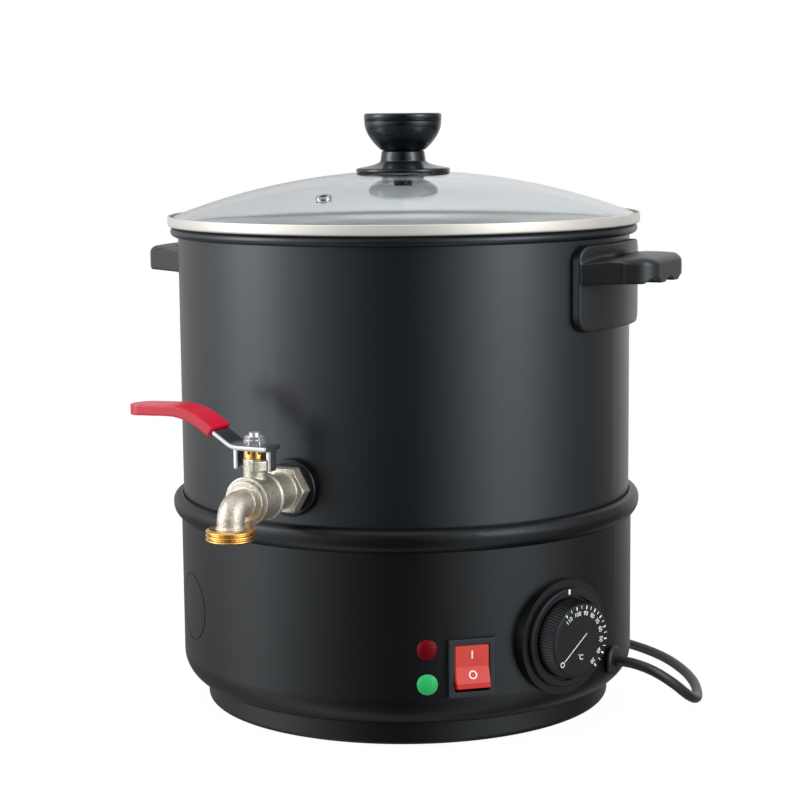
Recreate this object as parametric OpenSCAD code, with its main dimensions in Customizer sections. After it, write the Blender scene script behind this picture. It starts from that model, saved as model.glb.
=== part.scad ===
// Electric wax melter. A heated pot stands in a moulded base. It has a glass lid, two side
// handles, a lever ball valve as its spigot, a dial thermostat, a rocker switch and two lamps.
// Millimetres. +Z is up and the origin is on the pot's axis at the floor. The spigot points
// along -Y and the handles along +X and -X. Azimuths turn from -Y towards +X.

/* [Pot] */
// Outside radius of the pot's wall
pot_r = 133.5; // [120:0.5:150]
// Thickness of the pot's wall and floor
pot_wall = 1.2; // [0.8:0.1:2]
// Height of the pot, from its underside to the top of its rolled rim
pot_h = 166; // [150:1:200]
// How deep the pot sits in the base
pot_sink = 8; // [7:0.5:12]
// Outer radius of the bend between the pot's wall and floor
pot_bend = 6; // [4:0.5:9]
// Section radius of the rolled rim
bead_r = 2.8; // [2:0.1:3.5]

/* [Base] */
// Height of the base, from the floor to the top of its lip
base_h = 126; // [120:1:152]
// How far the base's wall stands outside the pot's wall
base_step = 1.5; // [1:0.1:4]
// Thickness of the base's wall
base_wall = 3; // [2.4:0.1:4]
// Radius of the base's lower corner
base_corner = 18; // [12:1:22]
// How far the lip stands outside the base's wall
lip_out = 4.6; // [3:0.1:7]
// Section radius of the lip's rounded top
lip_top_r = 4.6; // [3:0.1:6]
// Section radius of the flank under the lip
lip_flank_r = 9; // [8:0.5:12]
// Gap around the pot at the lip
lip_gap = 0.6; // [0.4:0.1:1.2]
// How far the foot ring is set in from the base's wall
foot_inset = 14; // [12.5:0.5:17]
// Height of the foot ring's top above the floor
foot_h = 15; // [14:0.5:17]
// How far the rubber feet stand below the foot ring
foot_drop = 1; // [0.6:0.1:2]
// Radius of a rubber foot
foot_r = 9; // [6:0.5:12]
// Distance between the rubber feet and the foot ring around them
foot_clear = 7; // [5:0.5:20]
// How far the circle of the base's screws is set in from the base's wall
column_in = 27.5; // [26:0.5:31]
// Radius of the round outline moulded in the base's wall
outline_r = 19.5; // [15:0.5:24]
// Azimuth of the round outline
outline_az = -40.5; // [-50:0.5:-35]
// Height of the middle of the round outline above the floor
outline_z = 64.5; // [58:0.5:70]

/* [Lid] */
// How far the lid's rim stands outside the pot's rolled rim
lid_over = 1.5; // [0.8:0.1:3]
// Height of the lid's steel rim
rim_h = 5.9; // [5.4:0.1:8]
// Thickness of the lid's steel
rim_t = 0.9; // [0.7:0.1:1.2]
// Radius of the ball that the glass dome is a part of
dome_r = 377; // [330:1:450]
// Thickness of the glass
glass_t = 3.6; // [3:0.1:4]
// Depth of the skirt that centres the lid in the pot
skirt_h = 6; // [4:0.5:10]
// Distance of the steam vent from the edge of the glass
vent_in = 41.1; // [31:0.1:60]
// Radius of the knob's foot
knob_foot_r = 27.8; // [22:0.1:32]
// Radius of the knob's neck
knob_neck_r = 12.6; // [10:0.1:15]
// Radius of the knob's top
knob_top_r = 22.9; // [19:0.1:26]
// Height of the knob above the glass
knob_h = 33.6; // [28:0.1:40]

/* [Handles] */
// Width of a handle's mounting plate
plate_w = 88; // [82:1:100]
// Height of a handle's mounting plate
plate_h = 48; // [40:1:52]
// Thickness of a handle's mounting plate
plate_t = 5; // [3.5:0.5:6]
// Distance from the top of the pot down to the middle of the mounting plates
plate_drop = 32.6; // [31:0.1:40]
// How far a handle reaches out from the pot's wall
handle_reach = 34; // [32:0.5:45]
// Width of a handle's loop at its outer corners
loop_w = 66; // [60:1:72]
// Height of a handle's loop
loop_h = 16; // [13:0.5:18]
// Width of a loop's outer bar
loop_bar = 20; // [16:0.5:22]
// Width of a loop's arms
loop_arm = 9.5; // [8.5:0.5:12]

/* [Spigot] */
// Height of the spigot's axis above the pot's underside
spigot_up = 29; // [26:0.5:40]
// Distance from the pot's wall to the valve's stem
stem_out = 39.5; // [37:0.5:50]
// Distance from the valve's stem to the spout's axis
spout_out = 25; // [24:0.5:32]
// Distance from the spigot's axis down to the end of the spout
spout_drop = 18; // [17:0.5:26]
// Radius of the spigot's threaded tail
tail_r = 10.5; // [9.5:0.1:11]
// Radius of the flow bore
flow_r = 5; // [4:0.1:5.5]
// Radius of the ball
ball_r = 8.6; // [8:0.1:9]
// Width across the flats of the spigot's hexagon
hex_af = 24; // [23:0.5:27]
// Crest radius of the hose thread on the spout
hose_r = 13.2; // [12:0.1:15]
// Pitch of the hose thread
hose_pitch = 2.2; // [1.8:0.1:2.4]
// Length of the lever, from the stem to its tip
lever_len = 75; // [65:1:95]
// Width of the lever
lever_w = 15; // [12:0.5:17]
// Thickness of the lever's steel
lever_t = 2.4; // [1.8:0.1:3]
// Thickness of the vinyl on the lever's grip
grip_t = 1.7; // [1:0.1:2.5]

/* [Controls] */
// Azimuth of the two lamps
lamp_az = 32; // [26:0.5:33]
// Azimuth of the rocker switch
switch_az = 42.4; // [42:0.1:44]
// Azimuth of the dial
dial_az = 67; // [66:0.5:70]
// Azimuth of the cord's way out
cord_az = 88; // [88:0.5:92]
// Height of the dial's axis above the floor
dial_z = 58.5; // [54:0.5:64]
// Height of the switch's middle above the floor
switch_z = 48; // [42:0.5:58]
// Height of the upper lamp above the floor
lamp_z = 59; // [54:0.5:64]
// Distance between the two lamps
lamp_gap = 19.5; // [15:0.5:22]
// Radius of a lamp's lens
lamp_r = 5.8; // [4.5:0.1:6.5]
// Height of the cord's way out above the floor
cord_z = 34.3; // [33:0.1:36]
// Radius of the round boss that the dial stands on
boss_r = 32.5; // [30:0.5:36]
// Outside radius of the dial's bezel
bezel_r = 28; // [26.5:0.5:30]
// Radius of the dial knob at its foot
dial_r = 22.4; // [20:0.1:23]
// Depth of the dial knob
dial_depth = 10.8; // [8:0.1:16]
// Width of the switch's bezel
switch_w = 26.5; // [25:0.5:29]
// Height of the switch's bezel
switch_h = 32.5; // [31:0.5:36]
// Angle that the rocker leans from its middle position
rocker_lean = 10; // [7:0.5:11]

/* [Mains lead] */
// Radius of the cord
cord_r = 3; // [2.5:0.1:3]
// Radius of the outermost turn of the coiled cord
coil_r = 45; // [43:1:50]
// Distance between the coil's turns
coil_pitch = 7.6; // [7.6:0.1:8]
// Height of the plug's body as it lies on the floor
plug_h = 22; // [22:0.5:24]

/* [Hidden] */
$fn = 96;
cut = 1;
rest_gap = 0.3;
slip = 0.05;

// The pot and what it stands on
pot_z = base_h - pot_sink;
pot_top = pot_z + pot_h;
pot_in_r = pot_r - pot_wall;
bead_c = pot_in_r + 0.1 + bead_r;
seat_t = 2;
seat_z = pot_z - seat_t;
seat_w = 6;
seat_in_r = pot_r - pot_bend - seat_w + 1;
seat_ledge_t = 3;

// The base
base_r = pot_r + base_step;
lip_r = base_r + lip_out;
cave_r = base_r - base_wall;
corner_c = base_r - base_corner;
corner_z = foot_h - 2 + base_corner;
foot_ring_r = base_r - foot_inset;
plate_rise = 10;
plate_thick = 3;
plate_top = foot_drop - 1 + plate_rise + plate_thick;
shield_drop = 28;
shield_ledge_z = pot_z - shield_drop;
shield_ledge_t = 3;
shield_ledge_r = pot_r - 11.5;
shield_t = 1;
screw_turn = 15;
quarters = [0 : 90 : 270];
column_r = 6;
column_circle_r = base_r - column_in;
foot_ring_in_r = column_circle_r + column_r + 0.5;
foot_circle_r = foot_ring_in_r - foot_clear - foot_r;
column_h = 34;
slot_in_r = 40;
slot_out_r = foot_circle_r - foot_r - 6;
slot_rows = 3;
slot_bridge = 5;
slot_len = (slot_out_r - slot_in_r - (slot_rows - 1) * slot_bridge) / slot_rows;
slot_w = 3.6;
outline_w = 0.8;
outline_deep = 0.4;
through = 20;
screw_r = 2;
screw_head_r = 3.8;
screw_head_h = 2.6;

// The heater
heater_t = 6;
heater_in = 21.5;
heater_r = pot_r - heater_in;
heater_z = pot_z - heater_t;
coil_tube_r = 3.3;
heater_coil_r = 72;
heater_coil_sink = 1.6;
heater_coil_z = heater_z - coil_tube_r + heater_coil_sink;
heater_coil_arc = 330;
stud_in = 17;
stud_circle_r = heater_r - stud_in;
stud_r = 3;
stud_sunk = 3;
stud_out = 9;
stud_low_z = shield_ledge_z - stud_out;
nut_af = 10;
nut_h = 5;

// The lid
lid_z = pot_top + rest_gap + 0.1;
lid_r = bead_c + bead_r + lid_over;
rim_roll_r = 1.1;
glass_edge_r = lid_r - 2.9;
glass_flat_z = lid_z + 2 * rim_t;
dome_c = glass_flat_z + 3.3 - sqrt(pow(dome_r, 2) - pow(glass_edge_r, 2));
dome_top = dome_c + dome_r;
dome_in_r = dome_r - glass_t;
seal_in_r = sqrt(pow(dome_in_r, 2) - pow(glass_flat_z - dome_c, 2)) + 0.4;
skirt_r = pot_in_r - 1;
glass_hole_r = 3.5;
vent_tilt = asin((glass_edge_r - vent_in) / dome_r);
vent_tube_r = glass_hole_r - 0.1;
vent_bore_r = 2;
vent_flange_r = 4.6;
knob_screw_r = 2.5;
knob_foot_h = 11.6;
knob_flare_h = 5.7;
knob_sweep = 2.4;
knob_cap_h = 4.7;
knob_cap_edge = 1.5;
knob_cap_dip = 0.5;
knob_bowl_r = knob_neck_r - 0.3;
knob_flare = 0.85;
knob_steps = 14;
knob_washer_r = 17.5;
knob_washer_t = 2.2;
knob_bolt_head_r = 5.5;
knob_bolt_head_h = 3.4;

// The handles
plate_z = pot_top - plate_drop;
plate_corner = 9;
loop_up = 11;
loop_z = plate_z + loop_up;
loop_out_r = pot_r + handle_reach;
loop_corner = 15;
loop_root = plate_w / 2 - 0.5;
loop_root_at = sqrt(pow(pot_r + plate_t, 2) - pow(loop_root, 2));
loop_gap = handle_reach - plate_t - loop_bar;
loop_gap_corner = min(3.5, loop_gap / 2 - 0.1);
crown_r = 200;
cross_crown_r = 45;
cross_crown_in = 17.5;
handle_screw_turn = 11.5;
handle_screw_len = 13;
scallop_r = 10;
scallop_depth = 2.5;
scallop_gap = 22;

// The spigot, with distances from the pot's axis along its own
spigot_z = pot_z + spigot_up;
stem_at = pot_r + stem_out;
spout_at = stem_at + spout_out;
spout_z = spigot_z - spout_drop;
gasket_r = 16;
gasket_t = 5;
tail_in = 14;
tail_at = pot_r - tail_in;
hex_at = pot_r + gasket_t;
hex_len = 8;
barrel_r = 9.8;
house_half = 9.5;
house_r = 12.2;
ridge_r = 13;
ridge_w = 2.4;
chamber_r = ball_r + 0.6;
port_r = flow_r + 1.5;
neck_r = 6.2;
neck_up = 22;
neck_z = spigot_z + neck_up;
neck_from = 5;
lug_h = 6;
stem_r = 3.5;
stem_top_r = 3;
packing_r = 4.9;
packing_h = 3;
packing_sunk = 5;
packing_z = neck_z - packing_sunk;
stem_foot_z = spigot_z + ball_r + 0.2;
tang_w = 2.4;
tang_len = 6.4;
tang_deep = 2;
lever_up = 4.6;
lever_z = neck_z + lever_up;
ear_in = 8.9;
ear_w = 6.5;
ear_h = 11;
lug_r = 10.4;
lug_from = -69;
lug_to = -21;
nut_z = lever_z + lever_t;
lever_rise = 18;
lever_bend_1 = 10;
lever_bend_2 = 38;
lever_dip = 1.5;
foot_bend = 3.5;
brow_bend = 12;
grip_from = 0.42;
elbow_bend = 8;
elbow_r = 7.2;
spout_collar_r = 8;
thread_turns = 3;
thread_deep = 1.5;
thread_len = thread_turns * hose_pitch;
lock_nut_t = 6;
lock_nut_af = 27;
washer_r = 15;

// The controls, with distances from the pot's axis along their own
boss_at = base_r + 3.5;
bezel_t = 3;
bezel_floor = 1;
bezel_in_r = dial_r + 1.8;
dial_at = boss_at + bezel_floor + 0.6;
dial_face_r = dial_r - 1.3;
dial_flutes = 30;
flute_r = 1.1;
shaft_r = 3;
shaft_hole_r = 5.5;
shaft_in = 24;
thermostat_at = boss_at - 11;
thermostat_size = [40, 34, 22];
thermostat_screw_x = 14;
post_r = 4.5;
switch_at = base_r + 0.2;
switch_border = [3.4, 3.2];
switch_bezel_t = 1.8;
switch_body_deep = 24;
tab_len = 8;
switch_wall = 1.4;
rocker_pin_r = 1.5;
rocker_fit = 0.4;
rocker_ridge = 2.2;
rocker_valley = 0;
lamp_stub_r = lamp_r - 0.9;
lamp_flange_t = 0.8;
lamp_dome = 1.8;
holder_len = 13;
grommet_r = 8.6;
grommet_neck_r = 6.9;
grommet_bore_r = cord_r + 0.15;
grommet_out = 3.4;
clamp_size = [16, 12];
clamp_at = foot_ring_in_r - clamp_size[1] - 2;

// The cord's route from its clamp to its coil: points picked by hand
cord_out = [[148, -5, 34], [160, -2, 30], [169, 7, 21.5], [173, 21, 11.5], [172, 37, 5.5],
    [167, 54, 3.6], [156, 78, 3.2], [140, 102, 3.2], [118, 126, 3.2], [90, 145, 3.2],
    [58, 156, 3.2], [26, 159, 3.2], [-8, 157, 3.4], [-36, 155, 3.9]];
coil_centre = [-60, 200];
coil_lift = 6.8;
coil_low_z = plug_h / 2 - coil_lift;
coil_turns = 2.25;
coil_rings = 24;
coil_sides = 6;
cord_sides = 10;
cord_steps = 2;
coil_in_r = coil_r - coil_pitch * coil_turns;
coil_tail = [12, 25, 38];
tie_w = 6;
tie_t = 0.8;
tie_gap = 0.35;
plug_w = 25;
plug_len = 34;
plug_neck_len = 12;
pin_len = 16;

// Straight run of the cord inside the base
cord_inner = [for (r = [clamp_at + 2, clamp_at + 16, clamp_at + 32])
    [r * sin(cord_az), -r * cos(cord_az), cord_z]];
coil_start = [coil_centre[0], coil_centre[1] - coil_r, coil_low_z];
cord_route = concat(cord_inner, cord_out, [coil_start]);

// Catmull-Rom curve through a list of points, and the point at the list's end
function spline(p, i, t) =
    let (a = p[max(i - 1, 0)], b = p[i], c = p[i + 1], d = p[min(i + 2, len(p) - 1)])
    0.5 * (2 * b + (c - a) * t + (2 * a - 5 * b + 4 * c - d) * t * t
        + (3 * b - a - 3 * c + d) * t * t * t);
function smooth(p, steps) = concat(
    [for (i = [0 : len(p) - 2]) for (k = [0 : steps - 1]) spline(p, i, k / steps)],
    [p[len(p) - 1]]);
function between(a, b, t) = a + (b - a) * t;
function unit(v) = v / norm(v);
function tangent(p, i) = unit(p[min(i + 1, len(p) - 1)] - p[max(i - 1, 0)]);
function ring(p, i, r, sides) =
    let (t = tangent(p, i), s = unit(cross(t, [0, 0, 1])), u = cross(s, t))
    [for (k = [0 : sides - 1])
        let (a = 360 * (k + 0.5) / sides) p[i] + r * (cos(a) * s + sin(a) * u)];
function run(p, i = 0) = i > len(p) - 2 ? 0 : norm(p[i + 1] - p[i]) + run(p, i + 1);

// A closed tube of the given number of sides along a list of points
module tube(p, r, sides) {
    points = [for (i = [0 : len(p) - 1]) each ring(p, i, r, sides)];
    last = (len(p) - 1) * sides;
    walls = [for (i = [0 : len(p) - 2]) for (k = [0 : sides - 1])
        let (a = i * sides + k, b = i * sides + (k + 1) % sides)
        each [[a, b, a + sides], [b, b + sides, a + sides]]];
    ends = [[for (k = [sides - 1 : -1 : 0]) k], [for (k = [0 : sides - 1]) last + k]];
    polyhedron(points, concat(walls, ends), 6);
}

// The coiled cord: it spirals in, climbs a layer in half a turn and spirals out again
coil_span = 2 * coil_turns + 0.5;
coil_path = concat(
    [for (k = [0 : coil_span * coil_rings])
        let (
            n = k / coil_rings,
            a = -90 - 360 * n,
            back = max(0, n - coil_turns - 0.5),
            r = n < coil_turns ? coil_r - coil_pitch * n : coil_in_r + coil_pitch * back,
            climb = min(1, max(0, (n - coil_turns) / 0.5))
        )
        [coil_centre[0] + r * cos(a), coil_centre[1] + r * sin(a), coil_low_z + coil_lift * climb]],
    [for (x = coil_tail)
        [coil_centre[0] - x, coil_centre[1] - coil_r, coil_low_z + coil_lift]]);
far_pairs = [for (i = [0 : len(coil_path) - 1])
    for (j = [i + 12 : 1 : len(coil_path) - 1]) norm(coil_path[i] - coil_path[j])];
echo(coil_gap = min(far_pairs) - 2 * cord_r);
echo(cord_length = run(smooth(cord_route, cord_steps)) + run(coil_path));

// Places children on a face that looks out at an azimuth: x to its right, y up and z outward
// from the pot's axis
module face(az, z) rotate([0, 0, az]) translate([0, 0, z]) rotate([90, 0, 0]) children();
module rod(r, from, to, sides = 96) translate([0, 0, from])
    cylinder(r = r, h = to - from, $fn = sides);
module band(r_in, r_out, from, to) difference() {
    rod(r_out, from, to);
    rod(r_in, from - cut, to + cut);
}
module hex_rod(af, from, to) translate([0, 0, from])
    cylinder(r = af / sqrt(3), h = to - from, $fn = 6);
module box_at(size, from) translate([-size[0] / 2, -size[1] / 2, from]) cube(size);
module slab(x0, x1, y0, y1) translate([x0, y0]) square([x1 - x0, y1 - y0]);
module round_slab(w, h, r) {
    square([w - 2 * r, h], center = true);
    square([w, h - 2 * r], center = true);
    for (x = [-1, 1]) for (y = [-1, 1]) translate([x * (w / 2 - r), y * (h / 2 - r)]) circle(r);
}

// ---- Base ----
module base_outline() {
    intersection() {
        union() {
            slab(0, corner_c, 0, base_h);
            slab(0, base_r, corner_z, base_h - lip_top_r);
            slab(0, lip_r - lip_top_r, corner_z, base_h);
            translate([corner_c, corner_z]) circle(base_corner);
            translate([lip_r - lip_top_r, base_h - lip_top_r]) circle(lip_top_r);
            intersection() {
                translate([lip_r - lip_flank_r, base_h - lip_top_r - 1]) circle(lip_flank_r);
                slab(0, lip_r + cut, 0, base_h - lip_top_r - 1);
            }
            slab(0, lip_r, base_h - lip_top_r - 1, base_h - lip_top_r);
        }
        slab(0, lip_r + cut, foot_h, base_h);
    }
}
module base_hollow() {
    slab(0, corner_c, -cut, corner_z);
    translate([corner_c, corner_z]) circle(base_corner - base_wall);
    slab(0, cave_r, corner_z, shield_ledge_z);
    slab(0, shield_ledge_r, shield_ledge_z - cut, seat_z);
    slab(0, cave_r, shield_ledge_z + shield_ledge_t, seat_z - seat_ledge_t);
    slab(0, seat_in_r - 1, seat_z - seat_ledge_t - cut, base_h);
    slab(0, pot_r + lip_gap, seat_z, base_h + cut);
}
module screw_columns() {
    for (q = quarters) rotate([0, 0, q + screw_turn]) translate([0, -column_circle_r, 0]) {
        rod(column_r, plate_top, plate_top + column_h);
        translate([-1.5, -base_r + column_circle_r + 1.5, corner_z])
            cube([3, base_r - column_circle_r - 1.5, plate_top + column_h - corner_z]);
    }
}
module base_shell() color("#26282c") difference() {
    union() {
        difference() {
            union() {
                rotate_extrude() base_outline();
                face(dial_az, dial_z) rod(boss_r, base_r - 20, boss_at);
                face(switch_az, switch_z)
                    box_at([switch_w + 1.4, switch_h + 1.4, switch_at - base_r + 6], base_r - 6);
            }
            rotate_extrude() base_hollow();
        }
        screw_columns();
        face(dial_az, dial_z) for (s = [-1, 1]) translate([s * thermostat_screw_x, 0, 0])
            rod(post_r, thermostat_at, base_r - base_wall);
    }
    face(dial_az, dial_z) {
        rod(shaft_hole_r, thermostat_at - cut, boss_at + cut);
        for (s = [-1, 1]) translate([s * thermostat_screw_x, 0, 0]) {
            rod(screw_r, thermostat_at - cut, boss_at + cut);
            rod(screw_head_r, boss_at - screw_head_h, boss_at + cut);
        }
    }
    face(switch_az, switch_z) box_at([switch_w - 2 * switch_border[0] + 2 * switch_wall + 0.4,
        switch_h - 2 * switch_border[1] + 2 * switch_wall + 0.4, 2 * through], base_r - through);
    for (k = [0, 1]) face(lamp_az, lamp_z - k * lamp_gap)
        rod(lamp_stub_r + 0.1, base_r - through, base_r + through);
    face(cord_az, cord_z) rod(grommet_neck_r + 0.1, base_r - through, base_r + through);
    intersection() {
        face(outline_az, outline_z)
            band(outline_r - outline_w / 2, outline_r + outline_w / 2, base_r - through, base_r + through);
        band(base_r - outline_deep, base_r + cut, 0, base_h);
    }
    for (q = quarters) rotate([0, 0, q + screw_turn]) translate([0, -column_circle_r, 0])
        rod(screw_r, plate_top - cut, plate_top + column_h - 3);
}
module base_plate() color("#1f2124") difference() {
    rotate_extrude() {
        slab(0, foot_ring_in_r + 1, plate_top - plate_thick, plate_top);
        slab(foot_ring_in_r, foot_ring_r, foot_drop + 3, foot_h);
        slab(foot_ring_in_r, foot_ring_r - 3, foot_drop, foot_h);
        translate([foot_ring_r - 3, foot_drop + 3]) circle(3);
        slab(foot_ring_in_r, corner_c - 0.4, foot_h - cut, foot_h + 3);
    }
    for (q = quarters) rotate([0, 0, q + screw_turn]) translate([0, -column_circle_r, 0])
        rod(screw_r + 0.2, -cut, plate_top + cut);
    for (a = [0 : 30 : 330]) rotate([0, 0, a]) for (k = [0 : slot_rows - 1])
        translate([-slot_w / 2, slot_in_r + k * (slot_len + slot_bridge), plate_top - plate_thick - cut])
            cube([slot_w, slot_len, plate_thick + 2 * cut]);
}
module rubber_feet() color("#17181a") {
    for (q = quarters) rotate([0, 0, q + 45 + screw_turn]) translate([0, -foot_circle_r, 0])
        rod(foot_r, 0, plate_top - plate_thick);
    rod(foot_r, 0, plate_top - plate_thick);
}
module base_screws() color("#b9bcbf") for (q = quarters)
    rotate([0, 0, q + screw_turn]) translate([0, -column_circle_r, 0]) {
        rod(screw_r, plate_top - plate_thick, plate_top + column_h - 5);
        rod(screw_head_r, plate_top - plate_thick - screw_head_h, plate_top - plate_thick);
    }
module pot_seat_ring() color("#7d2f24") band(seat_in_r, seat_in_r + seat_w, seat_z, pot_z);

// ---- Pot and heater ----
module pot_outline() {
    difference() {
        union() {
            slab(0, pot_r - pot_bend, pot_z, pot_top - bead_r);
            slab(0, pot_r, pot_z + pot_bend, pot_top - bead_r);
            translate([pot_r - pot_bend, pot_z + pot_bend]) circle(pot_bend);
        }
        slab(-cut, pot_r - pot_bend, pot_z + pot_wall, pot_top);
        slab(-cut, pot_in_r, pot_z + pot_bend, pot_top);
        translate([pot_r - pot_bend, pot_z + pot_bend]) circle(pot_bend - pot_wall);
    }
    translate([bead_c, pot_top - bead_r]) circle(bead_r);
}
module handle_screw_places() for (side = [-90, 90]) for (s = [-1, 1])
    face(side + s * handle_screw_turn, loop_z) children();
module pot() color("#34363b") difference() {
    rotate_extrude() pot_outline();
    face(0, spigot_z) rod(tail_r + 0.25, pot_r - through, pot_r + through);
    handle_screw_places() rod(screw_r + 0.2, pot_r - through, pot_r + through);
}
module heater_plate() color("#b4b6b8") difference() {
    rod(heater_r, heater_z, pot_z);
    heater_tube();
    for (q = quarters) rotate([0, 0, q]) translate([0, -stud_circle_r, 0])
        rod(stud_r, heater_z - cut, heater_z + stud_sunk);
}
module heater_tube() translate([0, 0, heater_coil_z])
    rotate([0, 0, 15]) rotate_extrude(angle = heater_coil_arc)
        translate([heater_coil_r, 0]) circle(coil_tube_r);
module heating_element() color("#5c5a57") {
    heater_tube();
    for (a = [15, 15 + heater_coil_arc]) rotate([0, 0, a]) translate([heater_coil_r, 0, 0])
        rod(coil_tube_r, heater_coil_z - 14, heater_coil_z);
}
module heat_shield() color("#a3a6a8") difference() {
    rod(cave_r - 1, shield_ledge_z - shield_t, shield_ledge_z);
    for (q = quarters) rotate([0, 0, q]) translate([0, -stud_circle_r, 0])
        rod(stud_r + 0.3, shield_ledge_z - shield_t - cut, shield_ledge_z + cut);
    for (a = [15, 15 + heater_coil_arc]) rotate([0, 0, a]) translate([heater_coil_r, 0, 0])
        rod(coil_tube_r + 2, shield_ledge_z - shield_t - cut, shield_ledge_z + cut);
}
module heater_studs() color("#c8c6c0") for (q = quarters)
    rotate([0, 0, q]) translate([0, -stud_circle_r, 0]) rod(stud_r, stud_low_z, heater_z + stud_sunk);
module stud_nuts() color("#c8c6c0") for (q = quarters)
    rotate([0, 0, q]) translate([0, -stud_circle_r, 0]) difference() {
        hex_rod(nut_af, shield_ledge_z - shield_t - nut_h, shield_ledge_z - shield_t);
        rod(stud_r, shield_ledge_z - shield_t - nut_h - cut, shield_ledge_z);
    }
module thermal_cutout() color("#d9d2bf") translate([30, 20, 0]) {
    rod(8.5, heater_z - 7, heater_z);
    for (s = [-1, 1]) translate([s * 5, 0, 0]) box_at([3, 0.8, 6], heater_z - 13);
}
sensor_at = [-60, -30];
sensor_r = 3;
sensor_len = 40;
capillary_r = 1;
capillary_steps = [[0, 0, 0], [12, 0, 0], [24, 0, -1], [38, -1, -4], [50, -4, -6], [62, -8, -7]];
sensor_end = [sensor_at[0] + sensor_len, sensor_at[1], heater_z - sensor_r - 0.1];
module sensor_bulb() color("#b87f4a") {
    translate([sensor_at[0], sensor_at[1], heater_z - sensor_r])
        rotate([0, 90, 0]) rod(sensor_r, 0, sensor_len);
    tube(smooth([for (step = capillary_steps) sensor_end + step], 2), capillary_r, 8);
}
module terminal_block() color("#e4e1d6") translate([-40, 30, 0]) difference() {
    box_at([44, 18, 15], plate_top);
    for (x = [-15 : 10 : 15]) translate([x, 0, 0]) rod(2.2, plate_top + 9, plate_top + 15 + cut);
}
wire_low_z = plate_top + 12;
wire_end_y = 20.9;
// A point at an azimuth, a distance from the pot's axis and a height
function point_at(az, r, z) = [r * sin(az), -r * cos(az), z];
wire_routes = [
    [[-55, wire_end_y, wire_low_z], [-55, 8, wire_low_z + 4], [-30, -8, 40], [10, -20, 44], [50, -50, 48],
        point_at(switch_az, switch_at - switch_body_deep - tab_len - 0.5, switch_z)],
    [[-35, wire_end_y, wire_low_z], [-34, 10, wire_low_z + 4], [-5, 0, 38], [40, -4, 42], [72, -22, 52],
        point_at(dial_az, thermostat_at - thermostat_size[2] - 0.5, dial_z)],
    [[-25, wire_end_y, wire_low_z], [-22, 12, wire_low_z + 4], [10, 16, 32], [60, 8, 30], [90, 0, cord_z - 2],
        point_at(cord_az, clamp_at + 0.5, cord_z)]
];
module inner_wires() color("#b23a30") for (w = wire_routes) tube(smooth(w, 3), 1.3, 8);

// ---- Thermostat and dial ----
module thermostat_body() color("#cfc9b8") face(dial_az, dial_z) difference() {
    box_at(thermostat_size, thermostat_at - thermostat_size[2]);
    rod(shaft_r + slip, thermostat_at - 12, thermostat_at + cut);
    for (s = [-1, 1]) translate([s * thermostat_screw_x, 0, 0])
        rod(screw_r, thermostat_at - 6, thermostat_at + cut);
}
module thermostat_screws() color("#b9bcbf") face(dial_az, dial_z) for (s = [-1, 1])
    translate([s * thermostat_screw_x, 0, 0]) {
        rod(screw_r, thermostat_at - 5, boss_at - screw_head_h);
        rod(screw_head_r - 0.2, boss_at - screw_head_h, boss_at - 0.2);
    }
module thermostat_shaft() color("#c9a04a") face(dial_az, dial_z)
    rod(shaft_r, thermostat_at - 11.5, dial_at + dial_depth - 4);
module dial_bezel() color("#202226") face(dial_az, dial_z) difference() {
    union() {
        rod(bezel_r - 1, boss_at, boss_at + bezel_t);
        rod(bezel_r, boss_at, boss_at + bezel_t - 1);
        translate([0, 0, boss_at + bezel_t - 1]) rotate_extrude() translate([bezel_r - 1, 0]) circle(1);
    }
    rod(bezel_in_r, boss_at + bezel_floor, boss_at + bezel_t + cut);
    rod(shaft_hole_r, boss_at - cut, boss_at + bezel_t);
}
module dial_index() color("#eeeeea") face(dial_az, dial_z)
    translate([0, (bezel_r + bezel_in_r) / 2, 0])
        box_at([1.4, bezel_r - bezel_in_r - 1, 0.3], boss_at + bezel_t);
module dial_knob() color("#1d1f22") face(dial_az, dial_z) difference() {
    rotate_extrude() polygon([[0, dial_at], [dial_r, dial_at], [dial_face_r + 0.6, dial_at + dial_depth - 1.2],
        [dial_face_r - 0.6, dial_at + dial_depth], [0, dial_at + dial_depth]]);
    for (a = [0 : 360 / dial_flutes : 359]) rotate([0, 0, a]) translate([dial_r + 0.3, 0, 0])
        rod(flute_r, dial_at + 1.5, dial_at + dial_depth + cut);
    rod(shaft_r, dial_at - cut, dial_at + dial_depth - 4);
}

// ---- Switch and lamps ----
rocker_open = [switch_w - 2 * switch_border[0], switch_h - 2 * switch_border[1]];
rocker_pivot = switch_at + switch_bezel_t - 4;
rocker_half = rocker_open[1] / 2 - 1.4;
module switch_housing() color("#191a1c") face(switch_az, switch_z) difference() {
    union() {
        box_at([switch_w, switch_h, switch_bezel_t], switch_at);
        box_at([rocker_open[0] + 2 * switch_wall, rocker_open[1] + 2 * switch_wall, switch_body_deep + 0.1],
            switch_at - switch_body_deep);
        for (y = [-8, 0, 8]) translate([0, y, 0])
            box_at([6, 0.8, tab_len], switch_at - switch_body_deep - tab_len);
    }
    box_at([rocker_open[0], rocker_open[1], switch_body_deep], switch_at - 14);
    translate([0, 0, rocker_pivot]) rotate([0, 90, 0]) translate([0, 0, -rocker_open[0] / 2 - 1])
        cylinder(r = rocker_pin_r + slip, h = rocker_open[0] + 2);
}
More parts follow.
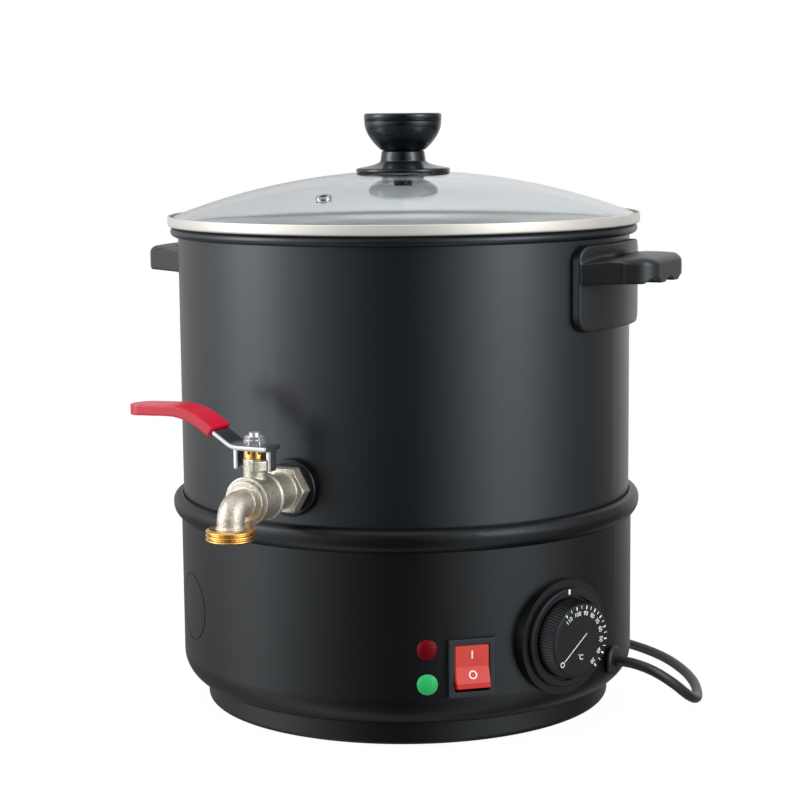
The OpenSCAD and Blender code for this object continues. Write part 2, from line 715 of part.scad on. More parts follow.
module rocker() color("#a3262b") face(switch_az, switch_z) translate([0, 0, rocker_pivot])
    rotate([-rocker_lean, 0, 0]) {
        rotate([90, 0, 90]) translate([0, 0, -rocker_open[0] / 2 + rocker_fit])
            linear_extrude(rocker_open[0] - 2 * rocker_fit)
                polygon([[-rocker_half, 4 + rocker_ridge], [0, 4 + rocker_valley],
                    [rocker_half, 4 + rocker_ridge], [rocker_half, -1], [5, -7], [-5, -7],
                    [-rocker_half, -1]]);
        rotate([0, 90, 0]) translate([0, 0, -rocker_open[0] / 2 - 0.7])
            cylinder(r = rocker_pin_r, h = rocker_open[0] + 1.4);
    }
module lamp_lens(z) face(lamp_az, z) {
    rod(lamp_r, base_r, base_r + lamp_flange_t);
    rod(lamp_stub_r, base_r - base_wall - 1, base_r);
    intersection() {
        translate([0, 0, base_r + lamp_flange_t + lamp_dome - 10.5]) sphere(10.5);
        rod(lamp_r - 0.5, base_r, base_r + lamp_flange_t + lamp_dome);
    }
}
module lamp_lens_red() color("#7d1016") lamp_lens(lamp_z);
module lamp_lens_green() color("#3fd24a") lamp_lens(lamp_z - lamp_gap);
module lamp_holders() color("#dcd8cc") for (k = [0, 1]) face(lamp_az, lamp_z - k * lamp_gap)
    rod(lamp_stub_r + 0.8, base_r - base_wall - 1 - holder_len, base_r - base_wall - 1);

// ---- Handles ----
module loop_outline() difference() {
    union() {
        polygon([[-loop_root, pot_r - 12], [loop_root, pot_r - 12], [loop_root, loop_root_at],
            [loop_w / 2, loop_out_r - loop_corner], [-loop_w / 2, loop_out_r - loop_corner],
            [-loop_root, loop_root_at]]);
        slab(-loop_w / 2 + loop_corner, loop_w / 2 - loop_corner, pot_r, loop_out_r);
        for (s = [-1, 1]) translate([s * (loop_w / 2 - loop_corner), loop_out_r - loop_corner])
            circle(loop_corner);
    }
    translate([0, pot_r + plate_t + loop_gap / 2]) round_slab(loop_w - 2 * loop_arm, loop_gap, loop_gap_corner);
}
module handle(az) difference() {
    union() {
        intersection() {
            rod(pot_r + plate_t, plate_z - plate_h / 2 - cut, plate_z + plate_h / 2 + cut);
            face(az, plate_z) translate([0, 0, pot_r - 40]) linear_extrude(60)
                round_slab(plate_w, plate_h, plate_corner);
        }
        intersection() {
            rotate([0, 0, az]) mirror([0, 1, 0]) translate([0, 0, loop_z - loop_h / 2])
                linear_extrude(loop_h) loop_outline();
            face(az, loop_z + loop_h / 2 - crown_r) rod(crown_r, 0, loop_out_r + through);
            face(az, loop_z + loop_h / 2 - cross_crown_r) translate([0, 0, loop_out_r - cross_crown_in])
                rotate([0, 90, 0]) rod(cross_crown_r, -plate_w, plate_w);
        }
    }
    rod(pot_r, 0, pot_top + 100);
    for (s = [-1, 0, 1]) face(az, loop_z - loop_h / 2 - scallop_r + scallop_depth)
        translate([s * scallop_gap, 0, 0]) rod(scallop_r, loop_out_r - loop_bar + 1.5, loop_out_r + through);
    for (s = [-1, 1]) face(az + s * handle_screw_turn, loop_z)
        rod(screw_r, pot_r - 5, pot_r + handle_screw_len + 0.5);
}
module handle_right() color("#232529") handle(90);
module handle_left() color("#232529") handle(-90);
module handle_screws() color("#b9bcbf") handle_screw_places() {
    rod(screw_r, pot_in_r - 1, pot_r + handle_screw_len);
    rod(screw_head_r, pot_in_r - 2.6, pot_in_r - 0.1);
}

// ---- Spigot ----
module spigot_gasket() color("#1b1c1e") face(0, spigot_z) difference() {
    union() {
        rod(gasket_r, pot_r - 3, hex_at - 1.5);
        rod(gasket_r - 1.5, pot_r - 3, hex_at);
        translate([0, 0, hex_at - 1.5]) rotate_extrude() translate([gasket_r - 1.5, 0]) circle(1.5);
    }
    rod(tail_r, pot_r - 10, hex_at + cut);
    rotate([-90, 0, 0]) rod(pot_r, -30, 30, 720);
}
module spigot_washer() color("#8a2b22") face(0, spigot_z) intersection() {
    band(tail_r, washer_r, pot_in_r - 4, pot_in_r + 2);
    rotate([-90, 0, 0]) rod(pot_in_r, -30, 30, 720);
}
module lock_nut() color("#b7b2a3") face(0, spigot_z) difference() {
    hex_rod(lock_nut_af, pot_in_r - 4 - lock_nut_t, pot_in_r - 4);
    rod(tail_r, pot_in_r - through, pot_in_r);
}
module valve_body() color("#b9b2a2") face(0, spigot_z) difference() {
    union() {
        rod(tail_r, tail_at, hex_at + 1);
        intersection() {
            hex_rod(hex_af, hex_at, hex_at + hex_len);
            rotate_extrude() polygon([[0, hex_at], [hex_af * 0.56, hex_at], [hex_af * 0.6, hex_at + 1],
                [hex_af * 0.6, hex_at + hex_len - 1.5], [hex_af * 0.52, hex_at + hex_len],
                [0, hex_at + hex_len]]);
        }
        rod(barrel_r, hex_at + hex_len - cut, stem_at);
        rod(house_r, stem_at - house_half, stem_at + house_half);
        rod(ridge_r, stem_at - house_half, stem_at - house_half + ridge_w);
        rod(ridge_r, stem_at + house_half - ridge_w, stem_at + house_half);
        translate([0, 0, stem_at]) rotate([-90, 0, 0]) {
            rod(neck_r, neck_from, neck_up);
            intersection() {
                rod(lug_r, neck_up - lug_h, neck_up - 0.4);
                linear_extrude(2 * neck_up) polygon([[0, 0], [20 * cos(lug_from), 20 * sin(lug_from)],
                    [20 * cos(lug_to), 20 * sin(lug_to)]]);
            }
        }
    }
    rod(port_r, tail_at - cut, stem_at);
    rod(chamber_r, stem_at - house_half + 0.4, stem_at + house_half + cut);
    translate([0, 0, stem_at]) rotate([-90, 0, 0]) {
        rod(stem_r + slip, 2, 2 * neck_up);
        rod(packing_r, packing_z - spigot_z, 2 * neck_up);
    }
}
module ball_seats() color("#f0efe9") face(0, spigot_z) translate([0, 0, stem_at])
    for (s = [0, 1]) mirror([0, 0, s]) difference() {
        rod(chamber_r, 4.2, house_half - 0.4);
        rod(flow_r, 0, house_half + cut);
        sphere(ball_r + 0.15);
    }
module valve_ball() color("#d7d8da") translate([0, -stem_at, spigot_z]) difference() {
    sphere(ball_r);
    rotate([0, 90, 0]) rod(flow_r, -20, 20);
    box_at([tang_len + 20, tang_w, 20], stem_foot_z - spigot_z - tang_deep);
}
module valve_stem() color("#c9a04a") translate([0, -stem_at, 0]) {
    rod(stem_r, stem_foot_z, lever_z);
    rod(stem_top_r, lever_z, nut_z + nut_h + 1.6);
    box_at([tang_len, tang_w, tang_deep + 0.1], stem_foot_z - tang_deep);
}
module stem_packing() color("#f0efe9") translate([0, -stem_at, 0])
    band(stem_r + slip, packing_r, packing_z, packing_z + packing_h);
module packing_nut() color("#c59a35") translate([0, -stem_at, 0]) difference() {
    union() {
        rod(packing_r, packing_z + packing_h, neck_z);
        rod(neck_r - 0.3, neck_z, lever_z - rest_gap);
    }
    rod(stem_r + slip, 0, lever_z + cut);
    for (a = [0 : 60 : 150]) rotate([0, 0, a]) box_at([2, 20, 10], lever_z - rest_gap - 1.8);
}
// The lever's centre line, from the stem outward, as distance and height
lever_start = [-ear_in - lever_t, 0];
lever_foot = [lever_bend_1, 0];
lever_brow = [lever_bend_2, lever_rise];
lever_tip = [lever_len + 3, lever_rise - lever_dip];
function left_of(v) = [-v[1], v[0]];
// A corner b between a and c, rounded off over a distance d on both sides
function bend(a, b, c, d) = [for (t = [0 : 0.2 : 1])
    pow(1 - t, 2) * (b + unit(a - b) * d) + 2 * t * (1 - t) * b + pow(t, 2) * (b + unit(c - b) * d)];
function mitre(n, m, h) = (n + m) * h / (1 + n * m);
function offset_at(p, i, h) = let (last = len(p) - 1,
    n = left_of(unit(p[max(i, 1)] - p[max(i, 1) - 1])),
    m = left_of(unit(p[min(i, last - 1) + 1] - p[min(i, last - 1)]))) mitre(n, m, h);
function ribbon(p, h) = concat([for (i = [0 : len(p) - 1]) p[i] + offset_at(p, i, h)],
    [for (i = [len(p) - 1 : -1 : 0]) p[i] - offset_at(p, i, h)]);
// A bent strip on the valve's stem, with a round end at the lever's tip
module lever_strip(path, t, w) translate([0, -stem_at, lever_z + lever_t / 2]) intersection() {
    translate([0, -w / 2, 0]) rotate([90, 0, 180]) linear_extrude(w) polygon(ribbon(path, t / 2));
    union() {
        translate([-lever_len + lever_w / 2, 0, -lever_t - 5]) cylinder(r = w / 2, h = lever_rise + 15);
        translate([-lever_len + lever_w / 2, -w / 2, -lever_t - 5])
            cube([lever_len - lever_w / 2 + 20, w, lever_rise + 15]);
    }
}
module lever_arm() lever_strip(concat([lever_start], bend(lever_start, lever_foot, lever_brow, foot_bend),
    bend(lever_foot, lever_brow, lever_tip, brow_bend), [lever_tip]), lever_t, lever_w);
module lever() color("#c8cacc") difference() {
    union() {
        lever_arm();
        translate([0, -stem_at, 0]) for (s = [-1, 1]) translate([s * (ear_in + lever_t / 2), 0, 0])
            box_at([lever_t, ear_w, ear_h + lever_t / 2], lever_z - ear_h);
    }
    translate([0, -stem_at, 0]) rod(stem_top_r, lever_z - cut, lever_z + 10);
}
module lever_grip() color("#c01226") difference() {
    lever_strip(concat([between(lever_foot, lever_brow, grip_from)],
        bend(lever_foot, lever_brow, lever_tip, brow_bend), [lever_tip]),
        lever_t + 2 * grip_t, lever_w + 2 * grip_t);
    lever_arm();
}
module lever_nut() color("#d3d5d6") translate([0, -stem_at, 0]) difference() {
    hex_rod(nut_af, nut_z, nut_z + nut_h);
    rod(stem_top_r, nut_z - cut, nut_z + nut_h + cut);
}
module spout_path(r, extra) {
    face(0, spigot_z) rod(r, stem_at + house_half - extra, spout_at - elbow_bend);
    translate([0, -spout_at + elbow_bend, spigot_z - elbow_bend]) rotate([90, 0, -90])
        rotate_extrude(angle = 90) translate([elbow_bend, 0]) circle(r);
    translate([0, -spout_at, 0]) rod(r, spout_z - extra, spigot_z - elbow_bend);
}
module elbow_spout() color("#b9b2a2") difference() {
    union() {
        spout_path(elbow_r, 0);
        face(0, spigot_z) rod(house_r - 1, stem_at + house_half, stem_at + house_half + 2.5);
        translate([0, -spout_at, 0]) rod(spout_collar_r, spout_z, spout_z + thread_len + 0.6);
    }
    spout_path(flow_r, cut);
}
module hose_thread() color("#c79a3a") translate([0, -spout_at, spout_z]) difference() {
    union() {
        rod(hose_r - thread_deep, 0, thread_len);
        for (k = [0 : thread_turns - 1]) translate([0, 0, k * hose_pitch]) rotate_extrude()
            polygon([[0, 0.1], [hose_r - thread_deep, 0.1], [hose_r, 0.7], [hose_r, 1.3],
                [hose_r - thread_deep, hose_pitch - 0.2], [0, hose_pitch - 0.2]]);
    }
    rod(spout_collar_r, -cut, thread_len + cut);
}

// ---- Lid ----
module lid_glass() color([0.72, 0.78, 0.8, 0.45]) difference() {
    rotate_extrude() intersection() {
        difference() {
            translate([0, dome_c]) circle(dome_r, $fn = 720);
            translate([0, dome_c]) circle(dome_in_r, $fn = 720);
        }
        slab(0, glass_edge_r, glass_flat_z, dome_top + cut);
    }
    rod(glass_hole_r, dome_top - 20, dome_top + 5);
    vent_place() rod(glass_hole_r, -20, 5);
}
module vent_place() translate([0, 0, dome_c]) rotate([vent_tilt, 0, 0])
    translate([0, 0, dome_r]) children();
module lid_rim() color("#c3c5c6") rotate_extrude() {
    slab(lid_r - rim_t, lid_r, lid_z + rim_roll_r, lid_z + rim_h - rim_t / 2);
    translate([lid_r - rim_t / 2, lid_z + rim_h - rim_t / 2]) circle(rim_t / 2);
    translate([lid_r - rim_roll_r, lid_z + rim_roll_r]) circle(rim_roll_r);
    slab(skirt_r - rim_t, lid_r - rim_roll_r, lid_z, lid_z + rim_t);
    slab(skirt_r - rim_t, skirt_r, lid_z - skirt_h, lid_z + rim_t);
}
module lid_seal() color("#3a3c3e") rotate_extrude() difference() {
    slab(seal_in_r, lid_r - rim_t, lid_z + rim_t, lid_z + rim_h - 0.3);
    slab(0, glass_edge_r, glass_flat_z, lid_z + rim_h);
    translate([lid_r - rim_roll_r, lid_z + rim_roll_r]) circle(rim_roll_r);
}
module knob_foot() color("#141517") difference() {
    rotate_extrude() polygon([[0, dome_top - 2], [knob_foot_r, dome_top - 2], [knob_foot_r, dome_top + 0.1],
        [knob_foot_r - 0.6, dome_top + 0.6],
        for (t = [0 : 0.125 : 1]) [knob_neck_r + 0.7 + (knob_foot_r - knob_neck_r - 2) * pow(1 - t, knob_sweep),
            dome_top + 0.9 + knob_flare_h * t],
        [knob_neck_r, dome_top + knob_foot_h], [0, dome_top + knob_foot_h]]);
    translate([0, 0, dome_c]) sphere(dome_r, $fn = 720);
    rod(knob_screw_r, dome_top - 10, dome_top + knob_foot_h + cut);
}
function knob_at(k) = let (t = k / knob_steps)
    [knob_bowl_r + (knob_top_r - knob_bowl_r) * pow(sin(90 * t), knob_flare),
        dome_top + knob_foot_h + (knob_h - knob_foot_h - knob_cap_h) * t];
module lid_knob() color("#131416") difference() {
    rotate_extrude() polygon(concat([[0, dome_top + knob_foot_h]], [for (k = [0 : knob_steps]) knob_at(k)],
        [[0, dome_top + knob_h - knob_cap_h]]));
    rod(knob_screw_r, dome_top, dome_top + knob_foot_h + 12);
}
module knob_cap() color("#17181b") rotate_extrude() polygon(concat(
    [[0, dome_top + knob_h - knob_cap_h], [knob_top_r, dome_top + knob_h - knob_cap_h]],
    [for (a = [0 : 15 : 90]) [knob_top_r - knob_cap_edge * (1 - cos(a)),
        dome_top + knob_h - knob_cap_edge * (1 - sin(a))]],
    [[knob_top_r - knob_cap_edge - knob_cap_dip, dome_top + knob_h - knob_cap_dip],
        [0, dome_top + knob_h - knob_cap_dip]]));
module knob_washer() color("#c9cbc8") intersection() {
    band(knob_screw_r, knob_washer_r, dome_top - glass_t - knob_washer_t, dome_top - glass_t + 1);
    translate([0, 0, dome_c]) sphere(dome_in_r, $fn = 720);
}
module knob_screw() color("#8b8d8f") {
    rod(knob_screw_r, dome_top - glass_t - knob_washer_t, dome_top + knob_foot_h + 11.5);
    rod(knob_bolt_head_r, dome_top - glass_t - knob_washer_t - knob_bolt_head_h,
        dome_top - glass_t - knob_washer_t);
}
module vent_eyelet() color("#cfd1d2") vent_place() difference() {
    union() {
        rod(vent_tube_r, -glass_t - 0.9, 0.9);
        rod(vent_flange_r, 0, 0.9);
        rod(vent_flange_r, -glass_t - 0.9, -glass_t - 0.1);
    }
    rod(vent_bore_r, -20, 5);
}

// ---- Mains lead ----
module cord_grommet() color("#141517") face(cord_az, cord_z) difference() {
    union() {
        rod(grommet_r - 1.7, base_r, base_r + grommet_out);
        translate([0, 0, base_r + grommet_out / 2]) rotate_extrude()
            translate([grommet_r - grommet_out / 2, 0]) circle(grommet_out / 2);
        rod(grommet_neck_r, base_r - base_wall - 2, base_r + 1);
        rod(grommet_r, base_r - base_wall - 3.5, base_r - base_wall - 1.2);
    }
    rod(grommet_bore_r, base_r - through, base_r + through);
}
module cord_clamp() color("#dcd8cc") rotate([0, 0, cord_az]) translate([0, -clamp_at - clamp_size[1] / 2, 0])
    difference() {
        box_at([clamp_size[0], clamp_size[1], cord_z + 8 - plate_top], plate_top);
        translate([0, clamp_size[1], cord_z]) rotate([90, 0, 0]) rod(grommet_bore_r, 0, 2 * clamp_size[1]);
    }
module cord() color("#111214") tube(smooth(cord_route, cord_steps), cord_r, cord_sides);
module cord_coil() color("#111214") tube(coil_path, cord_r, coil_sides);
module cord_tie() color("#2a2b2e") translate([coil_centre[0], coil_centre[1], 0]) {
    tie_low = coil_low_z - cord_r - tie_gap;
    tie_high = coil_low_z + coil_lift + cord_r + tie_gap;
    tie_in = coil_in_r - cord_r - tie_gap;
    tie_out = coil_r + cord_r + tie_gap;
    difference() {
        translate([-tie_w / 2, tie_in - tie_t, tie_low - tie_t])
            cube([tie_w, tie_out - tie_in + 2 * tie_t, tie_high - tie_low + 2 * tie_t]);
        translate([-tie_w, tie_in, tie_low]) cube([2 * tie_w, tie_out - tie_in, tie_high - tie_low]);
    }
}
plug_back = [coil_centre[0] - coil_tail[2], coil_centre[1] - coil_r, plug_h / 2];
module plug_place() translate(plug_back) rotate([0, -90, 0]) children();
module mains_plug() color("#121315") plug_place() difference() {
    union() {
        rod(cord_r + 1.6, 0, plug_neck_len);
        translate([0, 0, plug_neck_len]) linear_extrude(plug_len - plug_neck_len) round_slab(plug_h, plug_w, 6);
    }
    for (y = [-1, 1]) translate([-3, y * 6.35, 0]) box_at([6.4, 1.5, 6], plug_len - 5);
    translate([7.5, 0, 0]) rod(2.4, plug_len - 5, plug_len + cut);
}
module plug_pins() color("#cfc58f") plug_place() {
    for (y = [-1, 1]) translate([-3, y * 6.35, 0]) box_at([6.4, 1.5, pin_len + 5], plug_len - 5);
    translate([7.5, 0, 0]) rod(2.4, plug_len - 5, plug_len + pin_len + 3);
}

base_shell();
base_plate();
rubber_feet();
base_screws();
pot_seat_ring();
pot();
heater_plate();
heating_element();
heat_shield();
heater_studs();
stud_nuts();
thermal_cutout();
sensor_bulb();
terminal_block();
inner_wires();
thermostat_body();
thermostat_screws();
thermostat_shaft();
dial_bezel();
dial_index();
dial_knob();
switch_housing();
rocker();
lamp_lens_red();
lamp_lens_green();
lamp_holders();
handle_right();
handle_left();
handle_screws();
spigot_gasket();
spigot_washer();
lock_nut();
valve_body();
ball_seats();
valve_ball();
valve_stem();
stem_packing();
packing_nut();
lever();
lever_grip();
lever_nut();
elbow_spout();
hose_thread();
lid_glass();
lid_rim();
lid_seal();
lid_knob();
knob_cap();
knob_foot();
knob_washer();
knob_screw();
vent_eyelet();
cord_grommet();
cord_clamp();
cord();
cord_coil();
cord_tie();
mains_plug();
plug_pins();
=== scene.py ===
"""Looks of an electric wax melter, in metres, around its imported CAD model.

A black enamelled pot with a glass lid stands in a moulded base with a dial, a rocker switch
and two lamps. A lever ball valve is its spigot. Azimuths turn from -Y towards +X.
"""

import math

import bmesh
import bpy
import numpy as np
from mathutils import Matrix, Vector


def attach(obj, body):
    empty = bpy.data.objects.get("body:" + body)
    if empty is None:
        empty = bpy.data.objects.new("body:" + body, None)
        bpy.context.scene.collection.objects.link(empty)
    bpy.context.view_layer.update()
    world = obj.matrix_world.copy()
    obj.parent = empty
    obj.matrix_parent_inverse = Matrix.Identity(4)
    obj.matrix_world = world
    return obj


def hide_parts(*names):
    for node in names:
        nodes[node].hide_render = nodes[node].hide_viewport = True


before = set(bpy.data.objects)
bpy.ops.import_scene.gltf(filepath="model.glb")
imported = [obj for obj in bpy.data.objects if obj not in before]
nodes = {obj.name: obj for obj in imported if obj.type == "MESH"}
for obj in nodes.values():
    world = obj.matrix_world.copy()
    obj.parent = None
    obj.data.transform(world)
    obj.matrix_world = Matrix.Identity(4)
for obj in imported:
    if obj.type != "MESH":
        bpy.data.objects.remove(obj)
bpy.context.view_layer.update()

# ---- Sizes and places, in metres and degrees, as the CAD model and the photograph have them ----
POT_R = 0.1335
BASE_R = 0.135
RIM_R = 0.1395
DOME_TOP = 0.3152
DIAL_AZ, DIAL_Z = 67.0, 0.0585
DIAL_FACE = 0.1509
DIAL_R = 0.0224
SWITCH_AZ, SWITCH_Z = 42.4, 0.048
LAMP_AZ = 32.0
LAMP_Z = (0.059, 0.0395)
LAMP_R = 0.0058
LENS_PITCH = 0.0013
CORD_AZ, CORD_Z = 88.0, 0.0343
CORD_R = 0.003
STEM_Y = -0.173
PHOTO_AZ = 27.5

# ---- Mesh helpers ----


def place_object(name, data):
    """A new object in the scene."""
    made = bpy.data.objects.new(name, data)
    bpy.context.scene.collection.objects.link(made)
    return made


def outward(az):
    """The level direction out of the pot's axis at an azimuth."""
    return Vector((math.sin(math.radians(az)), -math.cos(math.radians(az)), 0))


def face_place(az, z):
    """The frame of a face that looks out at an azimuth: x right, y up, z outward from the axis."""
    return (
        Matrix.Rotation(math.radians(az), 4, "Z")
        @ Matrix.Translation((0, 0, z))
        @ Matrix.Rotation(math.radians(90), 4, "X")
    )


def add_piece(name, mesh, material, body, stands_for=()):
    """Puts a mesh in the scene as a piece that rides on a body."""
    piece = place_object(name, mesh)
    mesh.materials.clear()
    mesh.materials.append(material)
    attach(piece, body)
    if stands_for:
        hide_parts(*stands_for)
    return piece


def mesh_from(name, points, faces, place=None, smooth=True):
    mesh = bpy.data.meshes.new(name)
    mesh.from_pydata([tuple(p) for p in points], [], faces)
    if place is not None:
        mesh.transform(place)
    mesh.polygons.foreach_set("use_smooth", [smooth] * len(mesh.polygons))
    mesh.update()
    return mesh


def skin(rows):
    """Faces between rings of point numbers. A ring of one point closes the skin there."""
    faces = []
    for low, high in zip(rows, rows[1:]):
        for k in range(max(len(low), len(high))):
            a, b = low[k % len(low)], low[(k + 1) % len(low)]
            c, d = high[(k + 1) % len(high)], high[k % len(high)]
            corners = list(dict.fromkeys([a, b, c, d]))
            if len(corners) > 2:
                faces.append(corners)
    return faces


def round_spot(r, z, a, _k):
    """A point of a plainly round piece."""
    return r * math.cos(a), r * math.sin(a), z


def turned(name, outline, steps=128, place=None, spot=round_spot):
    """A mesh turned about Z from an outline of (radius, height) points, closed where it meets the axis.

    Spot gives a point from its radius, height, angle and step, and from what else its outline holds.
    """
    points, rows = [], []
    for r, z, *more in outline:
        count = 1 if r < 1e-6 else steps
        rows.append(range(len(points), len(points) + count))
        points += [spot(r, z, 2 * math.pi * k / steps, k, *more) for k in range(count)]
    return mesh_from(name, points, skin(rows), place)


def arc(cx, cz, r, start, end, steps=8):
    """Points of an arc, in degrees from the outward direction."""
    angles = [math.radians(start + (end - start) * k / steps) for k in range(steps + 1)]
    return [(cx + r * math.cos(a), cz + r * math.sin(a)) for a in angles]


def softened(node, name, material, body, voxel, rounds, keep=1.0):
    """A CAD node's form as a moulded or cast piece: its mesh remeshed fine and its edges eased."""
    mesh = nodes[node].data.copy()
    piece = place_object(name, mesh)
    bm = bmesh.new()
    bm.from_mesh(mesh)
    bmesh.ops.remove_doubles(bm, verts=bm.verts, dist=1e-6)
    bm.to_mesh(mesh)
    bm.free()
    remesh = piece.modifiers.new("fine", "REMESH")
    remesh.mode = "VOXEL"
    remesh.voxel_size = voxel
    ease = piece.modifiers.new("ease", "SMOOTH")
    ease.factor = 0.5
    ease.iterations = rounds
    if keep < 1:
        thin = piece.modifiers.new("thin", "DECIMATE")
        thin.ratio = keep
    made = bpy.data.meshes.new_from_object(piece.evaluated_get(bpy.context.evaluated_depsgraph_get()))
    bpy.data.objects.remove(piece)
    made.name = name
    made.polygons.foreach_set("use_smooth", [True] * len(made.polygons))
    return add_piece(name, made, material, body, (node,))


# ---- Node helpers ----

FLOAT, COLOUR = "NodeSocketFloat", "NodeSocketColor"


def rgb(red, green, blue):
    return (red, green, blue, 1.0)


def effect(name, inputs, outputs):
    """A new node group with named sockets, and its two end nodes."""
    tree = bpy.data.node_groups.new(name, "ShaderNodeTree")
    for label, kind, value in inputs:
        socket = tree.interface.new_socket(name=label, in_out="INPUT", socket_type=kind)
        socket.default_value = value
    for label, kind in outputs:
        tree.interface.new_socket(name=label, in_out="OUTPUT", socket_type=kind)
    return tree, tree.nodes.new("NodeGroupInput"), tree.nodes.new("NodeGroupOutput")


def add_node(tree, kind, **values):
    node = tree.nodes.new(kind)
    for key, value in values.items():
        setattr(node, key, value)
    return node


def feed(tree, socket, value):
    """Gives a socket a value, or links another node's output to it."""
    if isinstance(value, bpy.types.NodeSocket):
        tree.links.new(value, socket)
    else:
        socket.default_value = value


def set_inputs(tree, node, values):
    for key, value in values.items():
        feed(tree, node.inputs[key], value)
    return node


def math_node(tree, operation, a, b=None, clamp=False):
    node = add_node(tree, "ShaderNodeMath", operation=operation, use_clamp=clamp)
    feed(tree, node.inputs[0], a)
    if b is not None:
        feed(tree, node.inputs[1], b)
    return node.outputs[0]


def mix_colour(tree, share, a, b):
    node = add_node(tree, "ShaderNodeMix", data_type="RGBA")
    for socket, value in zip((node.inputs[0], node.inputs[6], node.inputs[7]), (share, a, b)):
        feed(tree, socket, value)
    return node.outputs[2]


def mix_value(tree, share, a, b):
    node = add_node(tree, "ShaderNodeMix", data_type="FLOAT")
    for socket, value in zip((node.inputs[0], node.inputs[2], node.inputs[3]), (share, a, b)):
        feed(tree, socket, value)
    return node.outputs[0]


def object_place(tree):
    return add_node(tree, "ShaderNodeTexCoord").outputs["Object"]


def split_xyz(tree, value):
    node = add_node(tree, "ShaderNodeSeparateXYZ")
    tree.links.new(value, node.inputs[0])
    return node.outputs


def noise(tree, where, **values):
    node = add_node(tree, "ShaderNodeTexNoise")
    set_inputs(tree, node, {"Vector": where, **values})
    return node.outputs["Fac"]


def axis_radius(tree, split):
    """The distance from the pot's axis."""
    x2 = math_node(tree, "MULTIPLY", split["X"], split["X"])
    y2 = math_node(tree, "MULTIPLY", split["Y"], split["Y"])
    return math_node(tree, "SQRT", math_node(tree, "ADD", x2, y2))


def spread_about(tree, middle, spread, cloud):
    """A value that noise moves up and down."""
    off = math_node(tree, "MULTIPLY", math_node(tree, "SUBTRACT", cloud, 0.5), spread)
    return math_node(tree, "ADD", off, middle, clamp=True)


# ---- Effects that several materials use ----


def make_grain():
    """Fine pits and soft waviness of a moulded, sprayed or cast surface."""
    tree, start, end = effect(
        "surface grain",
        [("Scale", FLOAT, 900.0), ("Pits", FLOAT, 0.5), ("Waves", FLOAT, 0.2)],
        [("Height", FLOAT)],
    )
    where = object_place(tree)
    wide = math_node(tree, "MULTIPLY", start.outputs["Scale"], 0.06)
    pits = noise(tree, where, Scale=start.outputs["Scale"], Detail=3)
    waves = noise(tree, where, Scale=wide, Detail=1)
    high = math_node(tree, "MULTIPLY", pits, start.outputs["Pits"])
    low = math_node(tree, "MULTIPLY", waves, start.outputs["Waves"])
    tree.links.new(math_node(tree, "ADD", high, low), end.inputs["Height"])
    return tree


def make_drift():
    """Slow change of colour and gloss over a surface, as handling and moulding leave it."""
    tree, start, end = effect(
        "colour and gloss drift",
        [
            ("Colour", COLOUR, (0.5, 0.5, 0.5, 1)),
            ("Other colour", COLOUR, (0.5, 0.5, 0.5, 1)),
            ("Scale", FLOAT, 12.0),
            ("Roughness", FLOAT, 0.4),
            ("Spread", FLOAT, 0.1),
        ],
        [("Colour", COLOUR), ("Roughness", FLOAT)],
    )
    given = start.outputs
    cloud = noise(tree, object_place(tree), Scale=given["Scale"], Detail=4, Roughness=0.6)
    tree.links.new(mix_colour(tree, cloud, given["Colour"], given["Other colour"]), end.inputs["Colour"])
    tree.links.new(spread_about(tree, given["Roughness"], given["Spread"], cloud), end.inputs["Roughness"])
    return tree


def make_wear():
    """Paler colour on raised edges, broken up by a fine noise."""
    tree, start, end = effect(
        "edge wear",
        [
            ("Colour", COLOUR, (0.5, 0.5, 0.5, 1)),
            ("Worn colour", COLOUR, (0.8, 0.8, 0.8, 1)),
            ("Amount", FLOAT, 0.5),
            ("Start", FLOAT, 0.53),
        ],
        [("Colour", COLOUR)],
    )
    edge = add_node(tree, "ShaderNodeNewGeometry").outputs["Pointiness"]
    rough = noise(tree, object_place(tree), Scale=260, Detail=4)
    above = math_node(tree, "SUBTRACT", edge, start.outputs["Start"])
    mask = math_node(tree, "MULTIPLY", above, 14.0, clamp=True)
    mask = math_node(tree, "MULTIPLY", mask, rough)
    mask = math_node(tree, "MULTIPLY", mask, start.outputs["Amount"], clamp=True)
    shade = mix_colour(tree, mask, start.outputs["Colour"], start.outputs["Worn colour"])
    tree.links.new(shade, end.inputs["Colour"])
    return tree


def make_brushing():
    """Fine lines that run round the pot's axis, as on a rolled and polished steel band."""
    tree, start, end = effect(
        "round brushing",
        [("Fineness", FLOAT, 2500.0), ("Roughness", FLOAT, 0.25), ("Spread", FLOAT, 0.15)],
        [("Roughness", FLOAT), ("Height", FLOAT)],
    )
    given, split = start.outputs, split_xyz(tree, object_place(tree))
    turn = math_node(tree, "ARCTAN2", split["Y"], split["X"])
    lay = {
        "X": math_node(tree, "MULTIPLY", axis_radius(tree, split), given["Fineness"]),
        "Y": math_node(tree, "MULTIPLY", turn, 3.0),
        "Z": math_node(tree, "MULTIPLY", split["Z"], given["Fineness"]),
    }
    join = set_inputs(tree, add_node(tree, "ShaderNodeCombineXYZ"), lay)
    lines = noise(tree, join.outputs[0], Scale=1.0, Detail=2)
    tree.links.new(spread_about(tree, given["Roughness"], given["Spread"], lines), end.inputs["Roughness"])
    tree.links.new(lines, end.inputs["Height"])
    return tree


